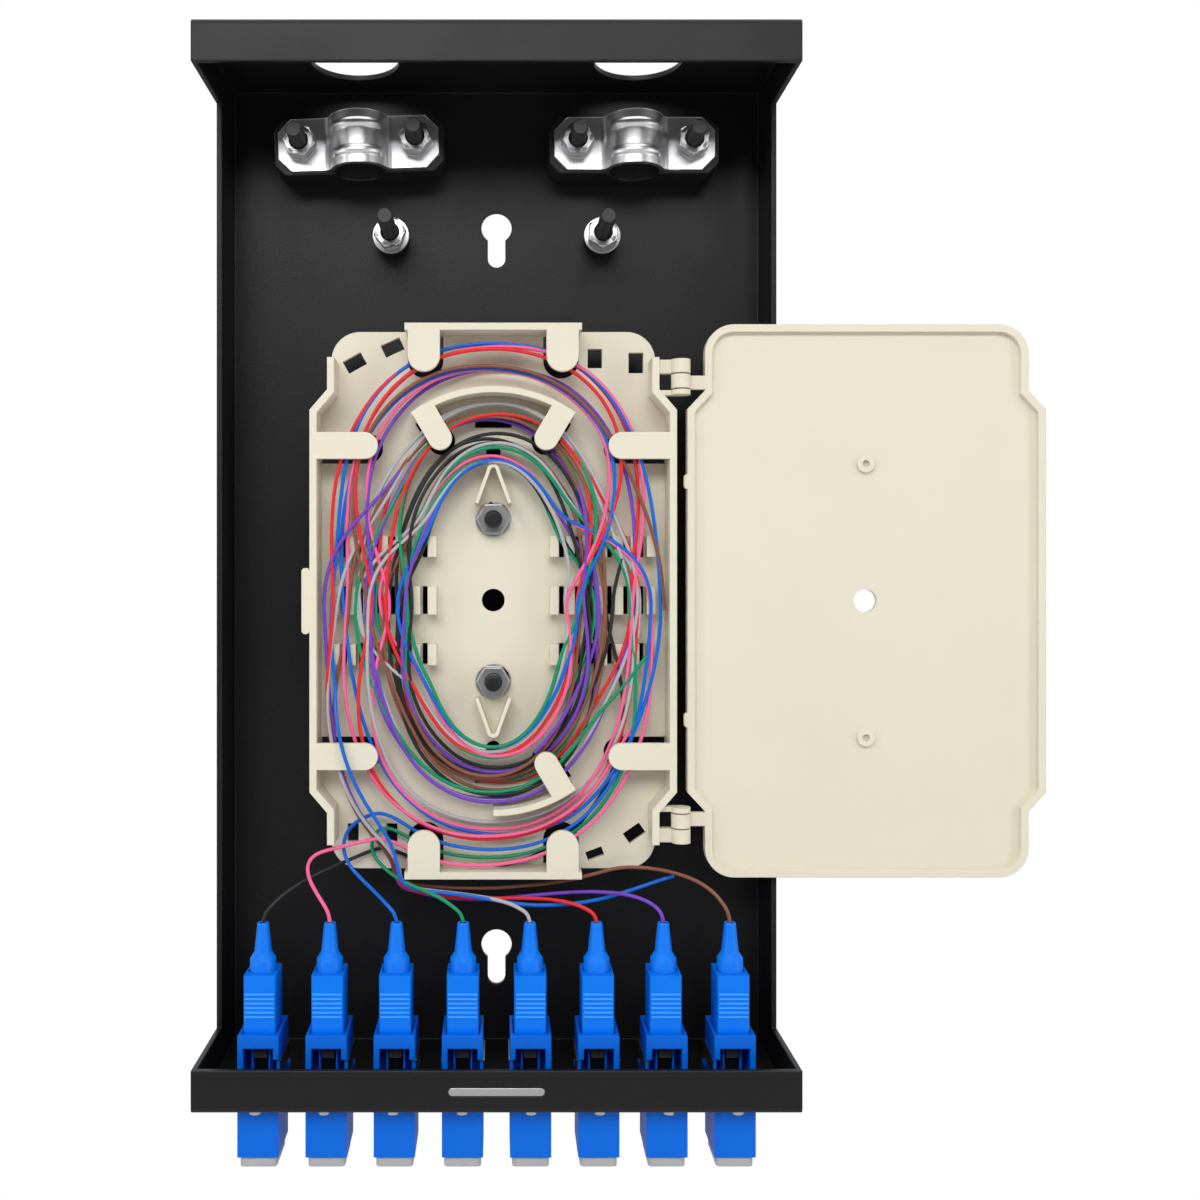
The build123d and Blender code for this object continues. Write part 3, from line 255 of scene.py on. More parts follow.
# x, z and height of the stretches that aren't coiled
fibreRoutes = {
    "black": [
        (-0.05425, -0.0828, 0.0276), (-0.0539, -0.081, 0.0274), (-0.0524, -0.0792, 0.0268),
        (-0.0499, -0.0769, 0.0253), (-0.0462, -0.0749, 0.0223), (-0.0416, -0.0732, 0.0183),
        (-0.036, -0.0715, 0.015), (-0.0312, -0.0697, 0.0134), (-0.0268, -0.0685, 0.0132)],
    "pink": [
        (-0.03875, -0.0828, 0.0276), (-0.039, -0.081, 0.0274), (-0.0402, -0.079, 0.0269),
        (-0.0423, -0.0765, 0.0254), (-0.0444, -0.0738, 0.023), (-0.0452, -0.0712, 0.0205),
        (-0.0436, -0.0691, 0.019), (-0.0394, -0.0679, 0.0184), (-0.0328, -0.0664, 0.0182),
        (-0.0268, -0.065, 0.0182)],
    "blue": [
        (-0.02325, -0.0828, 0.0276), (-0.0236, -0.081, 0.0274), (-0.0252, -0.0794, 0.0268),
        (-0.0286, -0.0773, 0.0228), (-0.0325, -0.0751, 0.0186), (-0.0356, -0.0722, 0.0172),
        (-0.0373, -0.0682, 0.0164), (-0.0362, -0.0638, 0.0155), (-0.032, -0.0607, 0.0154),
        (-0.0268, -0.0595, 0.0154)],
    "green": [
        (-0.00775, -0.0828, 0.0276), (-0.0081, -0.0811, 0.0274), (-0.0098, -0.0797, 0.0269),
        (-0.013, -0.0779, 0.0253), (-0.0172, -0.0768, 0.0226), (-0.0223, -0.0757, 0.0193),
        (-0.0269, -0.0734, 0.0165), (-0.0303, -0.07, 0.0150), (-0.0303, -0.0656, 0.0145),
        (-0.0268, -0.0628, 0.0144)],
    "slate": [
        (0.00775, -0.0828, 0.0276), (0.0074, -0.0812, 0.0274), (0.0059, -0.0801, 0.0268),
        (0.003, -0.0791, 0.0252), (-0.0012, -0.0786, 0.023), (-0.0066, -0.0784, 0.0206),
        (-0.0126, -0.0781, 0.0191), (-0.0186, -0.0776, 0.0185), (-0.0232, -0.0759, 0.0184),
        (-0.0234, -0.0704, 0.0184)],
    "red": [
        (0.02325, -0.0828, 0.0276), (0.0229, -0.0812, 0.0274), (0.0213, -0.0802, 0.0266),
        (0.0184, -0.0794, 0.0248), (0.0144, -0.0792, 0.0223), (0.0094, -0.0794, 0.02),
        (0.0032, -0.0798, 0.0182), (-0.0032, -0.0801, 0.0173), (-0.01, -0.08, 0.0172),
        (-0.017, -0.0791, 0.0172), (-0.0241, -0.0771, 0.0172), (-0.0235, -0.0706, 0.0172)],
    "violet": [
        (0.03875, -0.0828, 0.0276), (0.0385, -0.0811, 0.0274), (0.0374, -0.0797, 0.0266),
        (0.035, -0.0785, 0.0248), (0.0312, -0.0779, 0.0222), (0.0264, -0.078, 0.0196),
        (0.0204, -0.0785, 0.0174), (0.0128, -0.0793, 0.0162), (0.0044, -0.0802, 0.016),
        (-0.0034, -0.0808, 0.016), (-0.0108, -0.0806, 0.016), (-0.0176, -0.0794, 0.016),
        (-0.0245, -0.0775, 0.016), (-0.0238, -0.0709, 0.016)],
    "brown": [
        (0.05425, -0.0828, 0.0276), (0.054, -0.081, 0.0274), (0.053, -0.079, 0.0268),
        (0.051, -0.0766, 0.0252), (0.0476, -0.0746, 0.0224), (0.0428, -0.0735, 0.019),
        (0.0369, -0.073, 0.0164), (0.03, -0.0731, 0.0149), (0.0232, -0.0751, 0.0148),
        (0.0154, -0.0769, 0.0148), (0.0066, -0.0778, 0.0148), (-0.0022, -0.0784, 0.0148),
        (-0.011, -0.0783, 0.0148), (-0.0186, -0.0776, 0.0148), (-0.0249, -0.0762, 0.0148),
        (-0.0252, -0.0712, 0.0148)],
}
blueTail = [
    (-0.0389, -0.029, 0.0174), (-0.0387, -0.0334, 0.0186), (-0.038, -0.0384, 0.0202),
    (-0.0367, -0.044, 0.0209), (-0.0346, -0.0502, 0.0209), (-0.0316, -0.0562, 0.0206),
    (-0.0281, -0.0616, 0.0201), (-0.0252, -0.0663, 0.0197), (-0.0239, -0.0706, 0.0196),
    (-0.0233, -0.0746, 0.0196), (-0.0212, -0.0767, 0.0199), (-0.0178, -0.0775, 0.0204),
    (-0.0126, -0.0777, 0.0212), (-0.0064, -0.0781, 0.0223), (-0.0002, -0.079, 0.0233),
    (0.0058, -0.0799, 0.0235), (0.0116, -0.0803, 0.0228), (0.017, -0.0804, 0.0214),
    (0.022, -0.0802, 0.0198), (0.0266, -0.0797, 0.0182), (0.031, -0.0787, 0.017),
    (0.0354, -0.0775, 0.0162), (0.0394, -0.0762, 0.0158), (0.043, -0.0751, 0.0158)]
# How each fibre is wound: turns, way round (1 is anticlockwise), wish for each turn's lane from
# the tightest oval (0) to the widest (1), and how far its lane wanders at the quarter points
windings = {
    "black": (4.367, 1, [0.60, 0.10, 0.40, 0.02, 0.30, 0.8], 0.16),
    "pink": (3.217, 1, [0.90, 0.30, 0.62, 0.9, 0.95, 0.9], 0.22),
    "blue": (2.897, 1, [0.80, 0.35, 0.97, 1.0], 0.20),
    "green": (4.275, 1, [0.70, 0.20, 0.42, 0.08, 0.60, 0.98], 0.22),
    "slate": (3.745, -1, [0.90, 0.55, 0.74, 0.42, 0.98], 0.24),
    "red": (3.66, -1, [1.0, 0.55, 0.25, 0.88, 0.03], 0.18),
    "violet": (3.9, -1, [0.72, 0.08, 0.45, 0.80, 0.3], 0.22),
    "brown": (3.72, -1, [0.78, 0.34, 0.06, 0.62, 0.85], 0.20),
}
fibrePaint = {
    "black": (0.018, 0.018, 0.02),
    "pink": (0.86, 0.13, 0.30),
    "blue": (0.0, 0.13, 0.62),
    "green": (0.0, 0.27, 0.12),
    "slate": (0.42, 0.42, 0.44),
    "red": (0.74, 0.02, 0.025),
    "violet": (0.17, 0.055, 0.48),
    "brown": (0.23, 0.085, 0.05),
}


def place(x, z, height):
    return Vector((x, -(sheet + height), z))


def smooth(share):
    share = np.clip(share, 0, 1)
    return share * share * (3 - 2 * share)


def ovalRadius(angle, lane):
    # Distance from the middle to an oval, a superellipse whose half width, half height and
    # squareness grow in step from the tightest oval (lane 0) to the widest (lane 1).
    inner, outer = fibre["inner"], fibre["outer"]
    halfWidth = inner[0] + lane * (outer[0] - inner[0])
    halfHeight = inner[1] + lane * (outer[1] - inner[1])
    power = fibre["squareness"][0] + fibre["squareness"][1] * lane
    across = np.abs(np.cos(angle)) / halfWidth
    along = np.abs(np.sin(angle)) / halfHeight
    return (across ** power + along ** power) ** (-1 / power)


def polarOf(point):
    u, v = point.x - fibre["trayCentre"][0], point.z - fibre["trayCentre"][1]
    return math.atan2(v, u), math.hypot(u, v)


def quarterMarks(name):
    # How far a fibre has turned where it passes the right, top, left and bottom, and which of
    # those (0 to 3) each mark is. The first mark lies before the start and the last past the end.
    turns, way, _, _ = windings[name]
    first, _ = polarOf(place(*fibreRoutes[name][-1]))
    quarter = math.pi / 2
    start = (-first * way) % quarter - quarter
    turned = start + quarter * np.arange(int(turns * 4) + 4)
    return turned, np.round((first + way * turned) / quarter).astype(int) % 4


def pickedPasses(passes, colours, outermost, levels, random):
    # takes each listed colour's innermost or outermost pass out of the rest, and lays it on top
    picked = []
    for colour in colours:
        ordered = passes[::-1] if outermost else passes
        free = [p for p in ordered if p[1] == colour and (outermost or p[0] < fibre["entryWish"])]
        if free:
            passes.remove(free[0])
            picked.append(free[0])
            levels[colour][free[0][2]] = random.uniform(fibre["onTop"], 1)
    return picked


def planLanes(random):
    # Every fibre's lane at each of its marks. The wishes for one side of the tray are ranked, with
    # the innermost and outermost passes as in laneOrder, and the ranks are spread in uneven
    # bunches over the lanes that are free there, so that no pass is in a guide wall.
    marks = {name: quarterMarks(name) for name in windings}
    lanes, levels = {}, {}
    for name, (turned, sides) in marks.items():
        _, _, wishes, wander = windings[name]
        wish = np.interp(turned / (2 * math.pi), np.arange(len(wishes)), wishes)
        lanes[name] = wish + random.uniform(-wander, wander, len(turned))
        lanes[name][(turned < math.pi / 2) & (sides == 3)] = fibre["entryWish"]
        levels[name] = random.uniform(0, fibre["onTop"], len(turned))
    for side, ranges in fibre["lanes"].items():
        passes = [(lanes[n][i], n, i) for n in windings for i in np.nonzero(marks[n][1] == side)[0]]
        passes.sort()
        inner = pickedPasses(passes, laneOrder[side][0], False, levels, random)
        outer = pickedPasses(passes, laneOrder[side][1], True, levels, random)
        passes = inner + passes + outer[::-1]
        places = []
        for low, high, share in ranges:
            count = round(share * len(passes)) if high < 1 else len(passes) - len(places)
            gaps = np.cumsum(fibre["leastGap"] + random.gamma(fibre["unevenGap"], size=count))
            places += list(low + (high - low) * (gaps - gaps[0]) / (gaps[-1] - gaps[0]))
        for (_, name, i), lane in zip(passes, places):
            lanes[name][i] = min(max(lane, 0.0), 1.0)
    for name, (_, sides) in marks.items():
        low = np.where(sides % 2 == 1, fibre["atEnds"][0], fibre["overCombs"][0])
        high = np.where(sides % 2 == 1, fibre["atEnds"][1], fibre["overCombs"][1])
        levels[name] = low + levels[name] * (high - low)
    return marks, lanes, levels


def strayed(lane, angle, phase):
    # a slow wave on the lane, kept off the guide walls round the tray's ends
    swing = fibre["wobble"] * np.sin(fibre["wobblesPerTurn"] * angle + phase)
    wave = np.clip(lane + np.where(lane > fibre["steadyLane"], swing, 0), 0, 1)
    rise = np.sin(angle)
    for end, side in ((1, 1), (-1, 3)):
        (_, low, _), (high, _, _) = fibre["lanes"][side]
        here = rise * end > fibre["guideReach"]
        within = lane < (low + high) / 2
        wave = np.where(here & within, np.minimum(wave, np.maximum(low, lane)), wave)
        wave = np.where(here & ~within, np.maximum(wave, np.minimum(high, lane)), wave)
    return wave


def coilPoints(name, start, marks, lanes, level, phase, arrival=None):
    # The turns of one fibre as points. It glides from lane to lane between its marks, keeps its
    # lane round the tray's ends, where the guide walls are, and its height over the combs. It
    # eases out of the route's end and, where arrival is given, into that point.
    turns, way, _, _ = windings[name]
    first, startRadius = polarOf(start)
    turned = np.arange(1, int(turns * fibre["pointsPerTurn"]) + 1) * 2 * math.pi / fibre["pointsPerTurn"]
    angle = first + way * turned
    position = (turned - marks[0][0]) / (math.pi / 2)
    before = position.astype(int)
    share = position - before
    atEnd = marks[1] % 2 == 1
    keep = fibre["keepLane"]
    glide = smooth(np.where(atEnd[before], share - keep, share) / (1 - keep))
    lane = strayed(lanes[before] + glide * (lanes[before + 1] - lanes[before]), angle, phase)
    keep = fibre["keepHeight"]
    dive = smooth(np.where(atEnd[before], share, share - keep) / (1 - keep))
    height = level[before] + dive * (level[before + 1] - level[before])
    radius = ovalRadius(angle, lane)
    shift = 1 - lane
    ease = smooth(turned / math.radians(fibre["join"]))
    startOval = startRadius * ovalRadius(angle, 1.0) / ovalRadius(first, 1.0)
    radius = startOval + ease * (radius - startOval)
    shift = shift * ease
    startHeight = -start.y - sheet
    height = startHeight + ease * (height - startHeight)
    if arrival is not None:
        endAngle, endRadius = polarOf(arrival)
        ease = smooth(1 - (turned[-1] - turned) / math.radians(fibre["join"]))
        endOval = endRadius * ovalRadius(angle, 1.0) / ovalRadius(endAngle, 1.0)
        radius = radius + ease * (endOval - radius)
        shift = shift * (1 - ease)
        height = height + ease * (-arrival.y - sheet - height)
    x = fibre["trayCentre"][0] + fibre["innerShift"][0] * shift + radius * np.cos(angle)
    z = fibre["trayCentre"][1] + fibre["innerShift"][1] * shift + radius * np.sin(angle)
    return [place(*p) for p in zip(x, z, height)]


def makeFibre(name, marks, lanes, level, phase):
    # One fibre from its boot to its cut end, as a single smooth curve.
    route = [place(*p) for p in fibreRoutes[name]]
    tail = [place(*p) for p in blueTail] if name == "blue" else []
    points = route + coilPoints(name, route[-1], marks, lanes, level, phase, tail[0] if tail else None)
    points += tail
    curve = bpy.data.curves.new("pigtail_" + name, "CURVE")
    curve.dimensions = "3D"
    curve.resolution_u = fibre["curveSteps"]
    curve.bevel_depth = fibre["diameter"] / 2
    curve.bevel_resolution = fibre["curveSides"]
    curve.use_fill_caps = True
    spline = curve.splines.new("NURBS")
    spline.points.add(len(points) - 1)
    spline.points.foreach_set("co", [c for p in points for c in (*p, 1.0)])
    spline.order_u = 3
    spline.use_endpoint_u = True
    spline.use_smooth = True
    piece = bpy.data.objects.new("pigtail_" + name, curve)
    bpy.context.scene.collection.objects.link(piece)
    run = sum((b - a).length for a, b in zip(points, points[1:]))
    print("stage: fibre", name, round(run, 3))
    return piece, route[0]


print("stage: materials")


def newGroup(name, inputs, outputs):
    group = bpy.data.node_groups.new(name, "ShaderNodeTree")
    for label, kind, value in inputs:
        socket = group.interface.new_socket(label, in_out="INPUT", socket_type=kind)
        socket.default_value = value
    for label, kind in outputs:
        group.interface.new_socket(label, in_out="OUTPUT", socket_type=kind)
    return group, group.nodes.new("NodeGroupInput"), group.nodes.new("NodeGroupOutput")


def blended(tree, share, first, second):
    # the first colour, with that share of the second; each is a socket or a fixed colour
    mix = tree.nodes.new("ShaderNodeMix")
    mix.data_type = "RGBA"
    factor, low, high = mix.inputs[0], mix.inputs[6], mix.inputs[7]
    for socket, value in ((factor, share), (low, first), (high, second)):
        if isinstance(value, bpy.types.NodeSocket):
            tree.links.new(value, socket)
        else:
            socket.default_value = value
    return mix.outputs[2]


skinLook = {"contrast": 4.0, "fleckScale": 5200.0, "fleckFrom": 0.74, "fleckColour": (0.55, 0.53, 0.5, 1)}
edgeSamples = 6
softLight = {"radius": (1.0, 0.9, 0.7), "scale": 0.6 * mm}     # light that goes into the tray's plastic


def makeSkinGroup():
    # Fine grain, slow mottling and dust: a colour, a roughness and a height for the bump.
    group, inside, out = newGroup("surfaceSkin", [
        ("Colour", "NodeSocketColor", (0.5, 0.5, 0.5, 1)),
        ("Grain Scale", "NodeSocketFloat", 2500.0),
        ("Mottle Scale", "NodeSocketFloat", 60.0),
        ("Mottle", "NodeSocketFloat", 0.04),
        ("Roughness", "NodeSocketFloat", 0.4),
        ("Roughness Spread", "NodeSocketFloat", 0.08),
        ("Dust", "NodeSocketFloat", 0.0),
    ], [("Colour", "NodeSocketColor"), ("Roughness", "NodeSocketFloat"), ("Height", "NodeSocketFloat")])
    where = joined(group, "ShaderNodeTexCoord").outputs["Object"]
    grain = joined(group, "ShaderNodeTexNoise", Vector=where, Scale=inside.outputs["Grain Scale"],
                   Detail=3.0, Roughness=0.6)
    slow = joined(group, "ShaderNodeTexNoise", Vector=where, Scale=inside.outputs["Mottle Scale"],
                  Detail=4.0, Roughness=0.55)
    centred = mathNode(group, "SUBTRACT", slow.outputs["Fac"], 0.5)
    swing = mathNode(group, "MULTIPLY", centred, inside.outputs["Mottle"])
    value = mathNode(group, "ADD", mathNode(group, "MULTIPLY", swing, skinLook["contrast"]), 1.0)
    tone = joined(group, "ShaderNodeHueSaturation", Color=inside.outputs["Colour"], Value=value)
    speck = joined(group, "ShaderNodeTexNoise", Vector=where, Scale=skinLook["fleckScale"], Detail=1.0)
    flecks = mathNode(group, "GREATER_THAN", speck.outputs["Fac"], skinLook["fleckFrom"])
    dusty = mathNode(group, "MULTIPLY", flecks, inside.outputs["Dust"])
    dusted = blended(group, dusty, tone.outputs["Color"], skinLook["fleckColour"])
    rough = mathNode(group, "MULTIPLY", centred, inside.outputs["Roughness Spread"])
    rough = mathNode(group, "MULTIPLY", rough, skinLook["contrast"])
    rough = mathNode(group, "ADD", rough, inside.outputs["Roughness"], clamp=True)
    group.links.new(dusted, out.inputs["Colour"])
    group.links.new(rough, out.inputs["Roughness"])
    group.links.new(grain.outputs["Fac"], out.inputs["Height"])
    return group


def makeEdgeGroup():
    # A painted edge highlight: a colour that turns into another along a surface's edges, where the rounded
    # normal leaves the face's own. The share grows with one less the dot product of the two.
    group, inside, out = newGroup("edgeHighlights", [
        ("Colour", "NodeSocketColor", (0.5, 0.5, 0.5, 1)),
        ("Edge Colour", "NodeSocketColor", (1, 1, 1, 1)),
        ("Radius", "NodeSocketFloat", 0.0002),
        ("Reach", "NodeSocketFloat", 4.0),
        ("Share", "NodeSocketFloat", 1.0),
    ], [("Colour", "NodeSocketColor")])
    rounded = joined(group, "ShaderNodeBevel", Radius=inside.outputs["Radius"], samples=edgeSamples)
    facing = joined(group, "ShaderNodeNewGeometry").outputs["Normal"]
    both = group.nodes.new("ShaderNodeVectorMath")
    both.operation = "DOT_PRODUCT"
    group.links.new(rounded.outputs["Normal"], both.inputs[0])
    group.links.new(facing, both.inputs[1])
    turned = mathNode(group, "SUBTRACT", 1.0, both.outputs["Value"])
    mask = mathNode(group, "MULTIPLY", turned, inside.outputs["Reach"], clamp=True)
    share = mathNode(group, "MULTIPLY", mask, inside.outputs["Share"])
    lit = blended(group, share, inside.outputs["Colour"], inside.outputs["Edge Colour"])
    group.links.new(lit, out.inputs["Colour"])
    return group


skinGroup = makeSkinGroup()
edgeGroup = makeEdgeGroup()


def surfacePaint(name, colour, roughness, metallic=0.0, grainScale=2500.0, grainDepth=0.01,
                 mottle=0.02, mottleScale=60.0, spread=0.04, dust=0.0, seeThrough=0.0, ior=1.5,
                 subsurface=0.0, shine=0.35, edge=0.0):
    # grainDepth is the bump's height and edge the radius of rounded edges, both in mm
    paint = bpy.data.materials.new(name)
    paint.use_nodes = True
    tree = paint.node_tree
    shader = tree.nodes["Principled BSDF"]
    skin = tree.nodes.new("ShaderNodeGroup")
    skin.node_tree = skinGroup
    skin.inputs["Colour"].default_value = (*colour, 1)
    skin.inputs["Grain Scale"].default_value = grainScale
    skin.inputs["Mottle Scale"].default_value = mottleScale
    skin.inputs["Mottle"].default_value = mottle
    skin.inputs["Roughness"].default_value = roughness
    skin.inputs["Roughness Spread"].default_value = spread
    skin.inputs["Dust"].default_value = dust
    bump = joined(tree, "ShaderNodeBump", Height=skin.outputs["Height"], Distance=grainDepth * mm,
                  Strength=1.0)
    if edge > 0:
        rounded = joined(tree, "ShaderNodeBevel", Radius=edge * mm, samples=edgeSamples)
        tree.links.new(rounded.outputs["Normal"], bump.inputs["Normal"])
    tree.links.new(skin.outputs["Colour"], shader.inputs["Base Color"])
    tree.links.new(skin.outputs["Roughness"], shader.inputs["Roughness"])
    tree.links.new(bump.outputs["Normal"], shader.inputs["Normal"])
    shader.inputs["Metallic"].default_value = metallic
    shader.inputs["Specular IOR Level"].default_value = 0.5 if metallic else shine
    shader.inputs["Transmission Weight"].default_value = seeThrough
    shader.inputs["IOR"].default_value = ior
    if subsurface > 0:
        shader.inputs["Subsurface Weight"].default_value = subsurface
        shader.inputs["Subsurface Radius"].default_value = softLight["radius"]
        shader.inputs["Subsurface Scale"].default_value = softLight["scale"]
    return paint


paints = {
    "powder_coat": surfacePaint("powderCoat", (0.0095, 0.0095, 0.0102), 0.42, grainScale=1500.0,
                                grainDepth=0.035, mottle=0.05, mottleScale=35.0, spread=0.05, dust=0.10,
                                shine=0.22, edge=0.55),
    "plated_steel": surfacePaint("platedSteel", (0.50, 0.50, 0.51), 0.32, metallic=1.0,
                                 grainScale=900.0, grainDepth=0.0015, mottle=0.04, mottleScale=180.0),
    "bright_saddle": surfacePaint("brightSaddle", (0.78, 0.78, 0.79), 0.36, metallic=1.0,
                                  grainScale=700.0, grainDepth=0.002, mottle=0.03, mottleScale=120.0,
                                  edge=0.25),
    "black_steel": surfacePaint("blackSteel", (0.009, 0.009, 0.010), 0.40, grainScale=3000.0,
                                grainDepth=0.01, shine=0.4),
    "black_plastic": surfacePaint("blackPlastic", (0.010, 0.010, 0.011), 0.45, grainScale=2200.0,
                                  grainDepth=0.02),
    "tray_plastic": surfacePaint("trayPlastic", (0.745, 0.70, 0.565), 0.42, grainScale=3200.0,
                                 grainDepth=0.008, mottle=0.012, mottleScale=45.0, subsurface=0.12,
                                 edge=0.3),
    "spring_metal": surfacePaint("springMetal", (0.62, 0.50, 0.40), 0.25, metallic=1.0),
    "sleeve_ceramic": surfacePaint("sleeveCeramic", (0.82, 0.82, 0.80), 0.15),
    "core_plastic": surfacePaint("corePlastic", (0.03, 0.03, 0.032), 0.5),
    "adapter_plastic": surfacePaint("adapterPlastic", (0.0, 0.135, 0.70), 0.36, grainDepth=0.006,
                                    mottle=0.02, mottleScale=120.0, shine=0.16),
    "plug_plastic": surfacePaint("plugPlastic", (0.0, 0.185, 0.84), 0.36, grainDepth=0.006,
                                 mottle=0.02, mottleScale=120.0, shine=0.18),
    "boot_rubber": surfacePaint("bootRubber", (0.0, 0.185, 0.83), 0.42, grainDepth=0.006, shine=0.25),
    "cap_plastic": surfacePaint("capPlastic", (0.60, 0.60, 0.61), 0.38, seeThrough=0.35, ior=1.25,
                                shine=0.25),
}
for name, colour in fibrePaint.items():
    paints["fibre_" + name] = surfacePaint("fibreCoat_" + name, colour, 0.34, grainScale=4000.0,
                                           grainDepth=0.002, mottle=0.04, mottleScale=90.0,
                                           shine=0.3)
paints["fibre_mixed"] = paints["fibre_slate"]

edgeHighlights = {                   # how far the painted edge highlights reach in mm, their colour and its share
    "powder_coat": (0.45, (0.045, 0.045, 0.05), 1.0),
    "adapter_plastic": (0.16, (0.03, 0.26, 1.0), 0.6),
    "plug_plastic": (0.16, (0.03, 0.32, 1.0), 0.5),
}
portRow = {                    # in mm
    "count": 8, "pitch": 15.5, "height": 27.6,
    "gripHalf": 4.55,          # only the ribs stand further out from the row's middle plane
    "holder": (1.72, 2.7),     # half width and half depth of the space that a port's sleeve holder fills, where painted shade goes
    # the lighter blue for the ribs' tops is a painted highlight
    # the near black for the sleeve holders is painted shade, for the shade deep in the ports
    "ribHighlightColour": (0.04, 0.34, 1.0), "holderColour": (0.004, 0.004, 0.006),
}

rowPlane = -(sheet + portRow["height"] * mm)


def baseColour(name):
    tree = paints[name].node_tree
    socket = tree.nodes["Principled BSDF"].inputs["Base Color"]
    return tree, socket, socket.links[0].from_socket


def paintEdgeHighlights():
    # paints a lighter colour along each named paint's edges, a painted highlight
    for name, (radius, colour, share) in edgeHighlights.items():
        tree, socket, before = baseColour(name)
        lit = tree.nodes.new("ShaderNodeGroup")
        lit.node_tree = edgeGroup
        lit.inputs["Edge Colour"].default_value = (*colour, 1)
        lit.inputs["Radius"].default_value = radius * mm
        lit.inputs["Share"].default_value = share
        tree.links.new(before, lit.inputs["Colour"])
        tree.links.new(lit.outputs["Colour"], socket)


def alongAxis(tree, axis):
    where = joined(tree, "ShaderNodeTexCoord").outputs["Object"]
    return joined(tree, "ShaderNodeSeparateXYZ", Vector=where).outputs[axis]


def awayFrom(tree, value, middle):
    return mathNode(tree, "ABSOLUTE", mathNode(tree, "SUBTRACT", value, middle))


def paintRibHighlights():
    # painted highlight: the tops of the grips' ribs are painted a lighter blue, where they would catch the
    # light
    tree, socket, before = baseColour("plug_plastic")
    out = awayFrom(tree, alongAxis(tree, "Y"), rowPlane)
    ribHighlightMask = mathNode(tree, "GREATER_THAN", out, portRow["gripHalf"] * mm)
    tree.links.new(blended(tree, ribHighlightMask, before, (*portRow["ribHighlightColour"], 1)), socket)


def paintHolderShade():
    # Painted shade: the sleeve holders deep in the ports are painted near black, for the shade inside the
    # ports. The ports' middles are half a pitch from the whole pitches, so x over the pitch has a fraction
    # near a half there.
    tree, socket, before = baseColour("adapter_plastic")
    halfWidth, halfDepth = portRow["holder"]
    pitches = mathNode(tree, "DIVIDE", alongAxis(tree, "X"), portRow["pitch"] * mm)
    aside = awayFrom(tree, mathNode(tree, "FRACT", pitches), 0.5)
    middle = mathNode(tree, "LESS_THAN", aside, halfWidth / portRow["pitch"])
    out = awayFrom(tree, alongAxis(tree, "Y"), rowPlane)
    deep = mathNode(tree, "LESS_THAN", out, halfDepth * mm)
    holder = mathNode(tree, "MULTIPLY", middle, deep)
    tree.links.new(blended(tree, holder, before, (*portRow["holderColour"], 1)), socket)


paintEdgeHighlights()
paintRibHighlights()
paintHolderShade()

slotOf = {row["node"]: row["material_slot"] for row in frame["record"]["subparts"]}


def paintNodes():
    for name, node in nodes.items():
        node.data.materials.clear()
        node.data.materials.append(paints[slotOf[name]])


sharpAngle = 32.0              # degrees between two faces past which their edge is a sharp one


def finish(piece, replaced, body="root", bevel=0.0):
    # Dresses a new piece: its material, its rounded edges (in mm), and what it stands for.
    slot = slotOf[replaced[0]]
    piece.data.materials.clear()
    piece.data.materials.append(paints[slot])
    if bevel > 0:
        edges = piece.modifiers.new("edges", "BEVEL")
        edges.width = bevel * mm
        edges.segments = 2
        edges.limit_method = "ANGLE"
        edges.angle_limit = math.radians(sharpAngle)
        edges.harden_normals = True
        edges.use_clamp_overlap = False
    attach(piece, body)
    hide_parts(*replaced)


def softened(name, width):
    # a copy of a node with its loose triangles joined, no inner edges in its flats and its sharp
    # edges rounded
    mesh = nodes[name].data.copy()
    for layer in ("custom_normal", "sharp_face"):
        if layer in mesh.attributes:
            mesh.attributes.remove(mesh.attributes[layer])
    work = bmesh.new()
    work.from_mesh(mesh)
    bmesh.ops.remove_doubles(work, verts=work.verts, dist=0.001 * mm)
    bmesh.ops.dissolve_limit(work, angle_limit=math.radians(1.0), verts=work.verts, edges=work.edges)
    for face in work.faces:
        face.smooth = True
    work.to_mesh(mesh)
    work.free()
    piece = bpy.data.objects.new(name + "_soft", mesh)
    bpy.context.scene.collection.objects.link(piece)
    finish(piece, [name], nodes[name]["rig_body"], bevel=width)


def newPiece(name, points, faces):
    mesh = bpy.data.meshes.new(name)
    mesh.from_pydata(np.asarray(points).tolist(), [], faces)
    mesh.polygons.foreach_set("use_smooth", [True] * len(faces))
    mesh.set_sharp_from_angle(angle=math.radians(sharpAngle))
    mesh.update()
    piece = bpy.data.objects.new(name, mesh)
    bpy.context.scene.collection.objects.link(piece)
    return piece


def gridFaces(rows, columns, start=0, closed=True):
    # Quads between neighbouring points of a grid, whose columns meet again where closed.
    row, column = np.meshgrid(np.arange(rows - 1), np.arange(columns if closed else columns - 1),
                              indexing="ij")
    after = (column + 1) % columns
    quads = np.stack([row * columns + column, row * columns + after,
                      (row + 1) * columns + after, (row + 1) * columns + column], axis=-1)
    return (quads.reshape(-1, 4) + start).tolist()


def ringPoints(radius, height, columns):
    # Points round the up axis, ring by ring. Radius and height are given for each ring, or for
    # each point of each ring.
    angle = np.linspace(0, 2 * math.pi, columns, endpoint=False)
    radius, height = np.broadcast_arrays(radius, height, np.zeros(columns))[:2]
    return np.stack([radius * np.cos(angle), radius * np.sin(angle), height], axis=-1).reshape(-1, 3)


def endFaces(rows, columns):
    # a face over the first ring and one over the last
    last = (rows - 1) * columns
    return [list(range(columns))[::-1], list(range(last, last + columns))]


def innerFaces(rows, columns):
    # quads from the last ring back to the first
    last = (rows - 1) * columns
    return [[last + i, last + (i + 1) % columns, (i + 1) % columns, i] for i in range(columns)]


